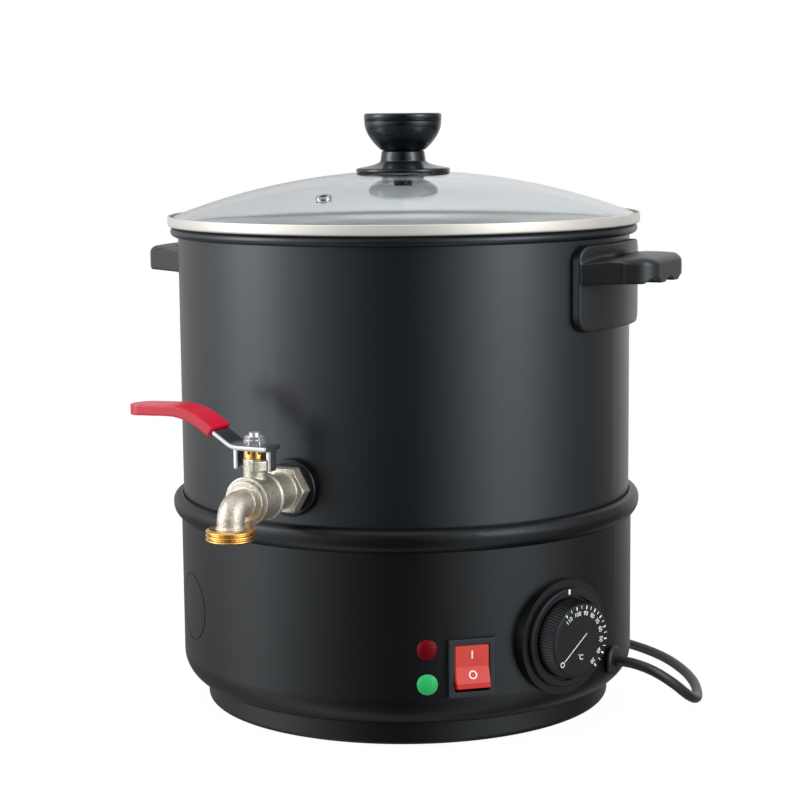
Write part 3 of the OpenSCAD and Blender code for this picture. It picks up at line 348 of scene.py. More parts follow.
def make_dust():
    """A thin film of dust on what looks up, thicker in patches."""
    tree, start, end = effect(
        "settled dust",
        [
            ("Colour", COLOUR, (0.5, 0.5, 0.5, 1)),
            ("Dust colour", COLOUR, (0.32, 0.31, 0.29, 1)),
            ("Amount", FLOAT, 0.05),
        ],
        [("Colour", COLOUR)],
    )
    normal = split_xyz(tree, add_node(tree, "ShaderNodeNewGeometry").outputs["Normal"])
    patch = noise(tree, object_place(tree), Scale=45, Detail=6)
    up = math_node(tree, "MULTIPLY", normal["Z"], start.outputs["Amount"], clamp=True)
    up = math_node(tree, "MULTIPLY", up, patch)
    shade = mix_colour(tree, up, start.outputs["Colour"], start.outputs["Dust colour"])
    tree.links.new(shade, end.inputs["Colour"])
    return tree


def make_lining():
    """Another colour for what lies inside a radius about the pot's axis."""
    tree, start, end = effect(
        "pot lining",
        [
            ("Colour", COLOUR, (0.5, 0.5, 0.5, 1)),
            ("Lining colour", COLOUR, (0.6, 0.6, 0.6, 1)),
            ("Radius", FLOAT, 0.133),
        ],
        [("Colour", COLOUR)],
    )
    radius = axis_radius(tree, split_xyz(tree, object_place(tree)))
    inside = math_node(tree, "LESS_THAN", radius, start.outputs["Radius"])
    shade = mix_colour(tree, inside, start.outputs["Colour"], start.outputs["Lining colour"])
    tree.links.new(shade, end.inputs["Colour"])
    return tree


def make_facet_glints():
    """Painted highlights: bright points in a slanted grid, standing in for the glints of a lens moulded in
    small diamonds.
    """
    tree, start, end = effect(
        "painted lens glints",
        [("Pitch", FLOAT, LENS_PITCH), ("Angle", FLOAT, LAMP_AZ)],
        [("Mask", FLOAT)],
    )
    where = object_place(tree)
    turn = math_node(tree, "RADIANS", start.outputs["Angle"])
    across = add_node(tree, "ShaderNodeCombineXYZ")
    tree.links.new(math_node(tree, "COSINE", turn), across.inputs["X"])
    tree.links.new(math_node(tree, "SINE", turn), across.inputs["Y"])
    dot = add_node(tree, "ShaderNodeVectorMath", operation="DOT_PRODUCT")
    tree.links.new(where, dot.inputs[0])
    tree.links.new(across.outputs[0], dot.inputs[1])
    height = split_xyz(tree, where)["Z"]
    waves = []
    for operation in ("ADD", "SUBTRACT"):
        slant = math_node(tree, operation, dot.outputs["Value"], height)
        count = math_node(tree, "DIVIDE", slant, start.outputs["Pitch"])
        wave = math_node(tree, "SINE", math_node(tree, "MULTIPLY", count, math.pi))
        waves.append(math_node(tree, "MULTIPLY", wave, wave))
    tree.links.new(math_node(tree, "MULTIPLY", waves[0], waves[1]), end.inputs["Mask"])
    return tree


GRAIN, DRIFT, WEAR, BRUSHING = make_grain(), make_drift(), make_wear(), make_brushing()
DUST, LINING, FACET_GLINTS = make_dust(), make_lining(), make_facet_glints()

# ---- Finishes ----


def new_material(name, values):
    """A material with values on its shader."""
    material = bpy.data.materials.new(name)
    material.use_nodes = True
    tree = material.node_tree
    return material, tree, set_inputs(tree, tree.nodes["Principled BSDF"], values)


def use_effect(tree, group, **values):
    """An effect in a material. An underscore in a socket's name stands for a space."""
    node = add_node(tree, "ShaderNodeGroup", node_tree=group)
    set_inputs(tree, node, {key.replace("_", " "): value for key, value in values.items()})
    return node.outputs


def add_bump(tree, shader, height, distance):
    relief = set_inputs(tree, add_node(tree, "ShaderNodeBump"), {"Distance": distance, "Height": height})
    tree.links.new(relief.outputs["Normal"], shader.inputs["Normal"])


def finish(
    name,
    colour,
    other,
    roughness,
    spread=0.08,
    drift_scale=14.0,
    grain=900.0,
    pits=0.5,
    waves=0.2,
    bump=0.00002,
    worn=None,
    wear=0.5,
    dust=0.0,
    brushed=None,
    lining=None,
    **shader_values,
):
    """A surface finish: drifting colour and gloss, grain in its bump, worn edges and dust."""
    material, tree, shader = new_material(name, shader_values)
    drift = use_effect(
        tree, DRIFT, Colour=colour, Other_colour=other, Scale=drift_scale, Roughness=roughness, Spread=spread
    )
    shade, gloss = drift["Colour"], drift["Roughness"]
    if worn:
        shade = use_effect(tree, WEAR, Colour=shade, Worn_colour=worn, Amount=wear)["Colour"]
    if dust:
        shade = use_effect(tree, DUST, Colour=shade, Amount=dust)["Colour"]
    if lining:
        wall = 0.0006
        shade = use_effect(tree, LINING, Colour=shade, Lining_colour=lining, Radius=POT_R - wall)["Colour"]
    height = use_effect(tree, GRAIN, Scale=grain, Pits=pits, Waves=waves)["Height"]
    if brushed:
        lines = use_effect(tree, BRUSHING, Fineness=brushed, Roughness=roughness, Spread=spread)
        gloss, height = lines["Roughness"], lines["Height"]
    tree.links.new(shade, shader.inputs["Base Color"])
    tree.links.new(gloss, shader.inputs["Roughness"])
    add_bump(tree, shader, height, bump)
    return material


# Black plastic and enamel mirror the room a little bluer than it is
BLUE_SHEEN = {"Specular Tint": rgb(0.84, 0.93, 1.0)}
DULL_SHEEN = {"Specular Tint": rgb(0.86, 0.94, 1.0), "Specular IOR Level": 0.33}

# Every opaque finish of the melter
FINISH = {
    "base_plastic": finish(
        "moulded base plastic", rgb(0.0010, 0.0012, 0.0016), rgb(0.0015, 0.0017, 0.0021), 0.36,
        grain=1500, pits=0.5, bump=0.00003, dust=0.004, **DULL_SHEEN,
    ),
    "plate_plastic": finish(
        "foot ring plastic", rgb(0.0010, 0.0012, 0.0016), rgb(0.0015, 0.0017, 0.0021), 0.4,
        grain=1300, pits=0.6, bump=0.00003, dust=0.004, **DULL_SHEEN,
    ),
    "pot_coat": finish(
        "black enamel coat", rgb(0.0036, 0.0044, 0.0058), rgb(0.0046, 0.0055, 0.0070), 0.32, spread=0.04,
        grain=1100, pits=0.25, waves=0.6, bump=0.00002, dust=0.008, lining=rgb(0.68, 0.69, 0.70),
        **BLUE_SHEEN,
    ),
    "gloss_black": finish(
        "polished black plastic", rgb(0.0030, 0.0036, 0.0050), rgb(0.0040, 0.0048, 0.0064), 0.14, spread=0.02,
        grain=900, pits=0.1, waves=0.1, bump=0.000003, dust=0.006, **BLUE_SHEEN,
    ),
    "handle_plastic": finish(
        "moulded handle plastic", rgb(0.005, 0.0053, 0.006), rgb(0.0065, 0.0068, 0.0075), 0.34,
        grain=1500, pits=0.4, bump=0.00002, worn=rgb(0.035, 0.035, 0.038), wear=0.35, dust=0.01, **BLUE_SHEEN,
    ),
    "dial_plastic": finish(
        "dial plastic", rgb(0.0016, 0.0018, 0.0024), rgb(0.0024, 0.0027, 0.0034), 0.4,
        grain=1800, pits=0.5, bump=0.00002, worn=rgb(0.012, 0.012, 0.015), wear=0.15, **DULL_SHEEN,
    ),
    "switch_plastic": finish(
        "switch plastic", rgb(0.0040, 0.0044, 0.0052), rgb(0.0055, 0.0059, 0.0068), 0.36,
        grain=1600, pits=0.4, bump=0.00002, worn=rgb(0.05, 0.05, 0.055), wear=0.4, **BLUE_SHEEN,
    ),
    "rubber": finish(
        "black rubber", rgb(0.0055, 0.0057, 0.0063), rgb(0.009, 0.0092, 0.0100), 0.45,
        grain=1800, pits=0.8, bump=0.00004, dust=0.02,
    ),
    "gasket_rubber": finish(
        "gasket rubber", rgb(0.0015, 0.0016, 0.002), rgb(0.0025, 0.0026, 0.003), 0.24,
        grain=900, pits=0.3, bump=0.00003, **DULL_SHEEN,
    ),
    "red_rubber": finish(
        "red silicone", rgb(0.25, 0.035, 0.02), rgb(0.31, 0.05, 0.03), 0.5, grain=1200, bump=0.00003,
    ),
    "clear_rubber": finish(
        "grey lid seal", rgb(0.05, 0.052, 0.055), rgb(0.07, 0.072, 0.075), 0.4, grain=1200, bump=0.00002,
    ),
    "steel": finish(
        "zinc plated steel", rgb(0.55, 0.56, 0.57), rgb(0.66, 0.66, 0.66), 0.3, spread=0.15,
        grain=2500, bump=0.00001, Metallic=1.0,
    ),
    "rim_steel": finish(
        "polished rim steel", rgb(0.55, 0.535, 0.50), rgb(0.62, 0.60, 0.565), 0.42, spread=0.1,
        brushed=2600.0, bump=0.000004, Metallic=0.45,
    ),
    "dark_screw": finish(
        "blackened screw", rgb(0.006, 0.006, 0.007), rgb(0.012, 0.012, 0.013), 0.3, grain=1500, bump=0.00001,
    ),
    "nickel": finish(
        "blasted nickel casting", rgb(0.25, 0.23, 0.19), rgb(0.78, 0.735, 0.64), 0.42, spread=0.25,
        drift_scale=600, grain=1000, pits=1.0, waves=0.3, bump=0.00034, worn=rgb(0.88, 0.85, 0.78), wear=0.9,
        Metallic=0.9,
    ),
    "nut_chrome": finish(
        "chromed nut", rgb(0.62, 0.63, 0.65), rgb(0.70, 0.71, 0.73), 0.2, spread=0.1,
        grain=900, pits=0.2, bump=0.00001, worn=rgb(0.8, 0.8, 0.82), wear=0.6, Metallic=0.8,
    ),
    "chrome": finish(
        "chromed steel", rgb(0.46, 0.47, 0.49), rgb(0.54, 0.55, 0.57), 0.14, spread=0.1,
        grain=900, pits=0.2, bump=0.00001, worn=rgb(0.75, 0.75, 0.77), wear=0.6, Metallic=1.0,
    ),
    "brass": finish(
        "turned brass", rgb(0.72, 0.44, 0.13), rgb(0.86, 0.56, 0.20), 0.26, spread=0.16, drift_scale=80,
        grain=1800, pits=0.5, bump=0.00002, worn=rgb(0.95, 0.72, 0.38), wear=0.8, Metallic=1.0,
    ),
    "aluminium": finish(
        "cast aluminium", rgb(0.60, 0.61, 0.62), rgb(0.70, 0.71, 0.72), 0.42, spread=0.2,
        grain=900, pits=0.8, bump=0.00005, Metallic=1.0,
    ),
    "grip_vinyl": finish(
        "dipped red vinyl", rgb(0.42, 0.003, 0.020), rgb(0.50, 0.005, 0.027), 0.3, spread=0.1,
        grain=700, pits=0.2, waves=0.7, bump=0.00006, worn=rgb(0.62, 0.03, 0.05), wear=0.3,
    ),
    "white_mark": finish(
        "white marking ink", rgb(0.72, 0.73, 0.74), rgb(0.82, 0.82, 0.82), 0.5, grain=2500, bump=0.00001,
    ),
    "cream_plastic": finish(
        "cream ceramic plastic", rgb(0.62, 0.56, 0.42), rgb(0.70, 0.64, 0.50), 0.5, grain=1200, bump=0.00003,
    ),
    "ptfe": finish("white seat plastic", rgb(0.78, 0.78, 0.75), rgb(0.85, 0.85, 0.82), 0.45, grain=800),
    "element": finish(
        "heating element sheath", rgb(0.10, 0.095, 0.09), rgb(0.16, 0.14, 0.12), 0.5, spread=0.2,
        grain=1500, bump=0.00003, Metallic=0.8,
    ),
    "copper": finish(
        "copper capillary", rgb(0.55, 0.25, 0.12), rgb(0.66, 0.33, 0.18), 0.3, grain=1500, Metallic=1.0,
    ),
    "wire_pvc": finish("red wire insulation", rgb(0.35, 0.03, 0.02), rgb(0.42, 0.04, 0.03), 0.45, grain=900),
    "cord_pvc": finish(
        "black cord sheath", rgb(0.0050, 0.0052, 0.0058), rgb(0.0085, 0.0087, 0.0095), 0.42, spread=0.12,
        grain=1400, pits=0.5, waves=0.5, bump=0.00004, dust=0.05,
    ),
    "tie": finish(
        "woven tie", rgb(0.014, 0.014, 0.015), rgb(0.03, 0.03, 0.032), 0.8, grain=2600, pits=1.0, bump=0.0001,
    ),
    "pin_metal": finish(
        "nickelled plug pins", rgb(0.62, 0.58, 0.46), rgb(0.72, 0.68, 0.56), 0.24, grain=1500, Metallic=1.0,
    ),
}

# The relief of clear and lit plastic, in metres
FINE_BUMP = 0.00001


def clear_finish(name, colour, roughness, transmission, **glow):
    """Glass or milky plastic, with smears in its gloss. Any glow given is painted light."""
    values = {"Base Color": colour, "IOR": 1.5, "Transmission Weight": transmission, "Metallic": 0.0, **glow}
    material, tree, shader = new_material(name, values)
    smears = use_effect(tree, DRIFT, Scale=9.0, Roughness=roughness, Spread=roughness * 0.8)
    tree.links.new(smears["Roughness"], shader.inputs["Roughness"])
    add_bump(tree, shader, use_effect(tree, GRAIN, Scale=120.0, Pits=0.1, Waves=0.5)["Height"], FINE_BUMP)
    return material


FINISH["glass"] = clear_finish("lid glass", rgb(0.81, 0.85, 0.88), 0.02, 1.0)
# The washer's emission is painted light: it stands in for light let through the glass into the milky plastic
# under the knob
FINISH["knob_washer"] = clear_finish(
    "milky knob washer with painted glow", rgb(0.94, 0.95, 0.93), 0.4, 0.1,
    **{"Emission Color": rgb(0.92, 0.95, 0.92), "Emission Strength": 0.42},
)


def lit_finish(name, colour, deep, glow, glow_power, roughness=0.22, diamonds=None, lip=None, sheen=0.5):
    """Tinted plastic that a lamp behind it fills unevenly with light.

    Diamonds are the colour of painted glints on its moulded points, and lip is a height and the colour below
    it, a painted deeper red glow on the rocker's lower end.
    """
    values = {"IOR": 1.5, "Specular IOR Level": sheen, "Emission Strength": glow_power}
    material, tree, shader = new_material(name, values)
    drift = use_effect(
        tree, DRIFT, Colour=colour, Other_colour=deep, Scale=70.0, Roughness=roughness, Spread=0.1
    )
    cloud = use_effect(tree, DRIFT, Colour=glow, Other_colour=deep, Scale=55.0)
    shades = [drift["Colour"], cloud["Colour"]]
    # Painted highlights: the diamond mask mixes a bright glint colour into both the colour and the glow
    if diamonds:
        mask = use_effect(tree, FACET_GLINTS)["Mask"]
        shades = [mix_colour(tree, mask, shade, diamonds) for shade in shades]
    # Painted light: below the lip's height the colour and glow turn a deeper red, for the lamp's light seen
    # through the lower end
    if lip:
        below = math_node(tree, "LESS_THAN", split_xyz(tree, object_place(tree))["Z"], lip[0])
        shades = [mix_colour(tree, below, shade, lip[1]) for shade in shades]
    tree.links.new(shades[0], shader.inputs["Base Color"])
    tree.links.new(shades[1], shader.inputs["Emission Color"])
    tree.links.new(drift["Roughness"], shader.inputs["Roughness"])
    add_bump(tree, shader, use_effect(tree, GRAIN, Scale=1500.0, Pits=0.3, Waves=0.3)["Height"], FINE_BUMP)
    return material


# The lip colour is painted light, a deeper red glow on the rocker's lower end
FINISH["rocker_red"] = lit_finish(
    "lit red rocker", rgb(0.42, 0.035, 0.028), rgb(0.30, 0.02, 0.02), rgb(0.62, 0.09, 0.045), 0.42,
    lip=(0.0402, rgb(0.30, 0.0, 0.0)), sheen=0.35,
)
# The diamonds colours of both lenses are painted glints on their moulded points
FINISH["lens_red"] = lit_finish(
    "dark red lens", rgb(0.050, 0.0, 0.001), rgb(0.028, 0.0, 0.001), rgb(0.07, 0.0, 0.001), 0.22, 0.25,
    diamonds=rgb(0.26, 0.0, 0.01), sheen=0.10,
)
FINISH["lens_green"] = lit_finish(
    "lit green lens", rgb(0.003, 0.15, 0.040), rgb(0.002, 0.11, 0.03), rgb(0.004, 0.36, 0.09), 0.40, 0.2,
    diamonds=rgb(0.06, 0.66, 0.20), sheen=0.2,
)

# ---- Camera ----


def set_camera():
    """The photograph's view: 1.24 m from the axis, with a small roll."""
    away, height, roll = 1.24, 0.3485, -0.0095
    focal_px, photo_px, sensor = 2083.0, 800.0, 36.0
    turn = Matrix.Rotation(math.radians(PHOTO_AZ), 3, "Z")
    eye = turn @ Vector((0, -away, height))
    aim = turn @ Vector((-0.0032, 0, 0.178))
    forward = (aim - eye).normalized()
    right = forward.cross(Vector((0, 0, 1))).normalized()
    up = right.cross(forward)
    c, s = math.cos(roll), math.sin(roll)
    right, up = c * right + s * up, c * up - s * right
    data = bpy.data.cameras.new("camera")
    data.sensor_width = sensor
    data.lens = sensor * focal_px / photo_px
    data.clip_start, data.clip_end = 0.05, 30.0
    camera = place_object("camera", data)
    facing = Matrix((right, up, -forward)).transposed()
    camera.matrix_world = Matrix.Translation(eye) @ facing.to_4x4()
    bpy.context.scene.camera = camera


set_camera()

# ---- The mains lead: cord, coil, tie and plug ----

# The route's points in millimetres, as the CAD model has them, from the wall of the base
CORD_OUT = [
    (148, -5, 34), (160, -2, 30), (169, 7, 21.5), (173, 21, 11.5), (172, 37, 5.5), (167, 54, 3.6),
    (156, 78, 3.2), (140, 102, 3.2), (118, 126, 3.2), (90, 145, 3.2), (58, 156, 3.2), (26, 159, 3.2),
    (-8, 157, 3.4), (-36, 155, 3.9),
]
COIL_X, COIL_Y, COIL_R, COIL_PITCH, COIL_TURNS = -60.0, 200.0, 45.0, 7.6, 2.25
COIL_LOW, COIL_LIFT = 4.2, 6.8


def smooth_line(points, steps):
    """A Catmull-Rom line through points."""
    line = []
    for i in range(len(points) - 1):
        a, b, c = points[max(i - 1, 0)], points[i], points[i + 1]
        d = points[min(i + 2, len(points) - 1)]
        for k in range(steps):
            t = k / steps
            line.append(
                0.5
                * (
                    2 * b
                    + (c - a) * t
                    + (2 * a - 5 * b + 4 * c - d) * t * t
                    + (3 * b - a - 3 * c + d) * t * t * t
                )
            )
    line.append(points[-1])
    return line


def coil_line(rings=36):
    """The wound length: it spirals in, climbs a layer in half a turn and spirals out again."""
    inner = COIL_R - COIL_PITCH * COIL_TURNS
    line = []
    for k in range(int((2 * COIL_TURNS + 0.5) * rings) + 1):
        n = k / rings
        a = math.radians(-90 - 360 * n)
        back = max(0.0, n - COIL_TURNS - 0.5)
        r = COIL_R - COIL_PITCH * n if n < COIL_TURNS else inner + COIL_PITCH * back
        climb = min(1.0, max(0.0, (n - COIL_TURNS) / 0.5))
        x, y = COIL_X + r * math.cos(a), COIL_Y + r * math.sin(a)
        line.append(Vector((x, y, COIL_LOW + COIL_LIFT * climb)))
    for x in (12, 25, 38):
        line.append(Vector((COIL_X - x, COIL_Y - COIL_R, COIL_LOW + COIL_LIFT)))
    return line


def make_cord():
    """The cord as one curve, from inside the base's wall to the plug, and its length."""
    inside = [outward(CORD_AZ) * r + Vector((0, 0, CORD_Z * 1000)) for r in (110, 121, 135)]
    route = inside + [Vector(p) for p in CORD_OUT] + [Vector((COIL_X, COIL_Y - COIL_R, COIL_LOW))]
    line = [p / 1000 for p in smooth_line(route, 3)[:-1] + coil_line()]
    data = bpy.data.curves.new("mains_cord", "CURVE")
    data.dimensions = "3D"
    data.bevel_depth = CORD_R
    data.bevel_resolution = 5
    data.use_fill_caps = True
    spline = data.splines.new("POLY")
    spline.points.add(len(line) - 1)
    for point, place in zip(spline.points, line):
        point.co = (*place, 1.0)
    spline.use_smooth = True
    data.materials.append(FINISH["cord_pvc"])
    piece = place_object("mains_cord", data)
    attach(piece, "base")
    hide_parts("cord", "cord_coil")
    length = sum((b - a).length for a, b in zip(line, line[1:]))
    return piece, length


def make_tie():
    """A woven strap round one side of the coil."""
    gap, corner, half, thick = 3.35, 3, 3, 0.8
    low, high = COIL_LOW - gap, COIL_LOW + COIL_LIFT + gap
    near, far = COIL_Y + COIL_R - COIL_PITCH * COIL_TURNS - gap, COIL_Y + COIL_R + gap
    ring = []
    for cy, cz, start in (
        (far - corner, high - corner, 90), (far - corner, low + corner, 0),
        (near + corner, low + corner, -90), (near + corner, high - corner, -180),
    ):
        for k in range(5):
            a = math.radians(start - 22.5 * k)
            ring.append((cy + corner * math.cos(a), cz + corner * math.sin(a), math.cos(a), math.sin(a)))
    points, faces = [], []
    for y, z, ny, nz in ring:
        for side, out in ((-half, 0), (half, 0), (half, thick), (-half, thick)):
            points.append(Vector((COIL_X + side, y + ny * out, z + nz * out)) / 1000)
    n = len(ring)
    for i in range(n):
        j = (i + 1) % n
        for k in range(4):
            faces.append((4 * i + k, 4 * i + (k + 1) % 4, 4 * j + (k + 1) % 4, 4 * j + k))
    mesh = mesh_from("cord_strap", points, faces, smooth=False)
    return add_piece("cord_strap", mesh, FINISH["tie"], "base", ("cord_tie",))


cord, cord_length = make_cord()
strap = make_tie()
plug = softened("mains_plug", "plug_body", FINISH["cord_pvc"], "base", 0.0004, 6)

# ---- The dial ----


def flat_words(text, size, x, y, turn):
    """The points and faces of a short word on the plane, centred at (x, y) and turned clockwise."""
    data = bpy.data.curves.new("word", "FONT")
    data.body, data.size = text, size
    data.align_x, data.align_y = "CENTER", "CENTER"
    data.offset = size * 0.012
    holder = place_object("word", data)
    mesh = bpy.data.meshes.new_from_object(holder.evaluated_get(bpy.context.evaluated_depsgraph_get()))
    bpy.data.objects.remove(holder)
    mesh.transform(Matrix.Translation((x, y, 0)) @ Matrix.Rotation(math.radians(-turn), 4, "Z"))
    return [v.co.copy() for v in mesh.vertices], [list(f.vertices) for f in mesh.polygons]


def bar(x, y, wide, long, turn, out=0.0):
    """A flat bar whose long side points away from the centre at a clockwise angle."""
    a = math.radians(turn)
    along, across = Vector((math.sin(a), math.cos(a), 0)), Vector((math.cos(a), -math.sin(a), 0))
    centre = Vector((x, y, 0)) + along * out
    signs = ((-1, -1), (1, -1), (1, 1), (-1, 1))
    return [centre + across * wide * i / 2 + along * long * j / 2 for i, j in signs], [[0, 1, 2, 3]]


def flat_ring(x, y, inner, outer, steps=40):
    """A flat ring on the plane, centred at (x, y)."""
    points, faces = [], []
    for k in range(steps):
        a = 2 * math.pi * k / steps
        for r in (inner, outer):
            points.append(Vector((x + r * math.cos(a), y + r * math.sin(a), 0)))
    for k in range(steps):
        j = (k + 1) % steps
        faces.append([2 * k, 2 * k + 1, 2 * j + 1, 2 * j])
    return points, faces


def joined(parts):
    """The points and faces of several parts as one."""
    points, faces = [], []
    for more_points, more_faces in parts:
        start = len(points)
        points += more_points
        faces += [[start + i for i in f] for f in more_faces]
    return points, faces


# Clockwise angle of each number on the dial at rest, seen from outside
DIAL_NUMBERS = (
    ("110", -35.0), ("100", -9.5), ("90", 13.4), ("80", 34.0), ("70", 53.0),
    ("60", 73.6), ("50", 95.0), ("40", 119.0), ("30", 144.4),
)
OFF_AT = -128.6


def make_dial_marks():
    """The white numbers with their ticks, the off ring with its line, and the unit."""
    ink, digits, unit = 0.00004, 0.0034, 0.0042
    edge = DIAL_R - 0.0013
    parts = []
    for number, turn in DIAL_NUMBERS:
        a, r = math.radians(turn), 0.735 * edge
        parts.append(flat_words(number, digits, r * math.sin(a), r * math.cos(a), turn))
        parts.append(bar(0, 0, 0.00085, 0.0021, turn, 0.895 * edge))
    turns = [turn for _, turn in DIAL_NUMBERS]
    for one, two in zip(turns, turns[1:]):
        parts.append(bar(0, 0, 0.00045, 0.0019, (one + two) / 2, 0.9 * edge))
    a = math.radians(OFF_AT)
    parts.append(flat_ring(0.85 * edge * math.sin(a), 0.85 * edge * math.cos(a), 0.00105, 0.0016))
    parts.append(bar(0, 0, 0.00055, 1.02 * edge, OFF_AT, 0.24 * edge))
    parts.append(flat_words("C", unit, 0.0002, -0.44 * edge, 6))
    parts.append(flat_ring(-0.0016, -0.36 * edge, 0.00022, 0.00042, 16))
    points, faces = joined(parts)
    place = face_place(DIAL_AZ, DIAL_Z) @ Matrix.Translation((0, 0, DIAL_FACE + ink))
    mesh = mesh_from("dial_marks", points, faces, place, False)
    add_piece("dial_marks", mesh, FINISH["white_mark"], "dial")


FLUTES, FLUTE_STEPS, FLUTE_DEPTH = 80, 6, 0.0006


def fluted(r, z, a, k, share):
    """A point of the knob's side, drawn in at each flute by a share of its depth."""
    r -= FLUTE_DEPTH * share * (0.5 + 0.5 * math.cos(2 * math.pi * k / FLUTE_STEPS))
    return r * math.cos(a), r * math.sin(a), z


def make_dial_knob():
    """A fluted knob with a plain foot, a rounded top edge and a flat face."""
    tall, face = 0.0108, 0.01075
    outline = [
        (0.0, 0.0002, 0), (0.0216, 0.0, 0), (DIAL_R, 0.0003, 0), (DIAL_R, 0.0014, 0),
        (DIAL_R - 0.0001, 0.0020, 1), (DIAL_R - 0.0012, 0.0090, 1), (DIAL_R - 0.0014, 0.0097, 0.85),
        (DIAL_R - 0.0018, 0.0103, 0.5), (DIAL_R - 0.0024, 0.0107, 0.15), (DIAL_R - 0.0030, tall, 0),
        (0.0170, face, 0), (0.0, face, 0),
    ]
    place = face_place(DIAL_AZ, DIAL_Z) @ Matrix.Translation((0, 0, DIAL_FACE - tall))
    mesh = turned("fluted_knob", outline, FLUTES * FLUTE_STEPS, place, fluted)
    add_piece("fluted_knob", mesh, FINISH["dial_plastic"], "dial", ("dial_knob",))


make_dial_knob()
make_dial_marks()

# ---- The rocker switch ----

ROCKER_PIVOT, ROCKER_LEAN, ROCKER_HALF, ROCKER_RISE = 0.133, 10.0, 0.01165, 0.0022


def make_rocker():
    """The rocker with its bar and ring, which lie on its two sloping halves."""
    softened("rocker", "lit_rocker", FINISH["rocker_red"], "rocker_switch", 0.00022, 5)
    middle, ink = 0.004, 0.00005
    points, faces = joined([bar(0, 0.0067, 0.00085, 0.0043, 0), flat_ring(0, -0.0043, 0.0017, 0.0023)])
    points = [Vector((p.x, p.y, middle + ROCKER_RISE * abs(p.y) / ROCKER_HALF + ink)) for p in points]
    place = (
        face_place(SWITCH_AZ, SWITCH_Z)
        @ Matrix.Translation((0, 0, ROCKER_PIVOT))
        @ Matrix.Rotation(math.radians(-ROCKER_LEAN), 4, "X")
    )
    mesh = mesh_from("rocker_marks", points, faces, place, False)
    add_piece("rocker_marks", mesh, FINISH["white_mark"], "rocker_switch")


make_rocker()
softened("switch_housing", "switch_frame", FINISH["switch_plastic"], "base", 0.0003, 3)

# ---- The lamps ----

LENS_TOP_R, LENS_FLANGE = LAMP_R - 0.0005, 0.0008
DIAMOND_RISE, TIP_RISE = 0.0001, 0.00012


def faceted(r, z, a, _k):
    """A point of the lens, raised or sunk where its dome is moulded in diamonds."""
    if r == 0:
        return 0, 0, z + TIP_RISE
    x, y = r * math.cos(a), r * math.sin(a)
    relief = 0.0
    if z > LENS_FLANGE + 0.00005 and r < LENS_TOP_R * 0.96:
        u, v = (x + y) / LENS_PITCH, (x - y) / LENS_PITCH
        relief = DIAMOND_RISE * (abs(math.sin(math.pi * u)) + abs(math.sin(math.pi * v)) - 0.6)
    return x, y, z + relief


def make_lens(node, name, z, slot):
    """A low domed lens with a flange."""
    neck, steps, rings = 0.0049, 120, 26
    rise, ball = 0.0018, 0.0105
    outline = [(neck, -0.004), (neck, 0.0), (LAMP_R, 0.0), (LAMP_R, 0.0006)]
    outline += [(LAMP_R - 0.0002, LENS_FLANGE), (LAMP_R - 0.0004, LENS_FLANGE)]
    for k in range(rings, -1, -1):
        r = LENS_TOP_R * k / rings
        outline.append((r, LENS_FLANGE + rise - ball + math.sqrt(ball**2 - r**2)))
    place = face_place(LAMP_AZ, z) @ Matrix.Translation((0, 0, BASE_R))
    add_piece(name, turned(name, outline, steps, place, faceted), FINISH[slot], "base", (node,))


make_lens("lamp_lens_red", "red_lens", LAMP_Z[0], "lens_red")
make_lens("lamp_lens_green", "green_lens", LAMP_Z[1], "lens_green")

# ---- Handles, spigot and lid: moulded, cast and turned pieces ----


def round_loop(mesh, side):
    """Draws a handle's outer corners into one sweep with its sides, and rounds its top edge off."""
    middle, end, bar_at, corner, kink, fillet = 0.2624, 0.1675, 0.1525, 0.015, 0.033, 0.004
    centre, plate_out, fade_at, fade = 0.0162, 0.1392, 0.1455, 0.015
    below, rise = 0.002, 0.0085
    slope, slope_sin, slope_cos = 0.5, 0.447, 0.894
    spots = np.empty(3 * len(mesh.vertices))
    mesh.vertices.foreach_get("co", spots)
    spots = spots.reshape(-1, 3)
    out, across = side * spots[:, 0], np.abs(spots[:, 1])
    reach = np.clip(out - bar_at, 0, corner)
    bend = np.sqrt(corner**2 - reach**2)
    slant = kink - slope * (out - bar_at)
    old = np.where(out > bar_at, kink - corner + bend, slant)
    new = np.where(out > bar_at + corner * slope_sin, centre + bend, slant)
    free = out > plate_out
    spots[:, 1] *= np.where(free, np.clip(new / old, 0.8, 1.0), 1.0)
    across = np.abs(spots[:, 1])
    to_side = (slant - across) * slope_cos
    round_the_corner = corner - np.hypot(np.clip(across - centre, 0, 1), np.clip(out - bar_at, 0, 1))
    depth = np.clip(np.minimum(np.minimum(to_side, end - out), round_the_corner), 0, fillet)
    drop = fillet - np.sqrt(fillet**2 - (fillet - depth) ** 2)
    high = np.clip((spots[:, 2] - middle + below) / rise, 0, 1) ** 2
    near = np.clip((out - fade_at) / fade, 0, 1)
    spots[:, 2] -= np.where(free, drop * high * near, 0)
    mesh.vertices.foreach_set("co", spots.ravel())
    mesh.update()


for node_name, piece_name, side in (("handle_right", "right_handle", 1), ("handle_left", "left_handle", -1)):
    handle = softened(
        node_name, piece_name, FINISH["handle_plastic"], "base", 0.0006, 9, 0.5
    )
    round_loop(handle.data, side)
# Node, piece, finish and slot, body, voxel in metres, rounds of easing, share of faces kept
for node_name, piece_name, slot, body, *fineness in (
    ("valve_body", "cast_valve", "nickel", "base", 0.0004, 6, 0.6),
    ("elbow_spout", "cast_spout", "nickel", "base", 0.0004, 6, 0.6),
    ("hose_thread", "brass_thread", "brass", "base", 0.00028, 3, 0.6),
    ("packing_nut", "brass_packing_nut", "brass", "base", 0.0002, 2, 1.0),
    ("lever", "steel_lever", "chrome", "valve_lever", 0.00035, 3, 0.6),
    ("lever_grip", "vinyl_grip", "grip_vinyl", "valve_lever", 0.0004, 6, 0.6),
):
    voxel, rounds, keep = fineness
    softened(node_name, piece_name, FINISH[slot], body, voxel, rounds, keep)


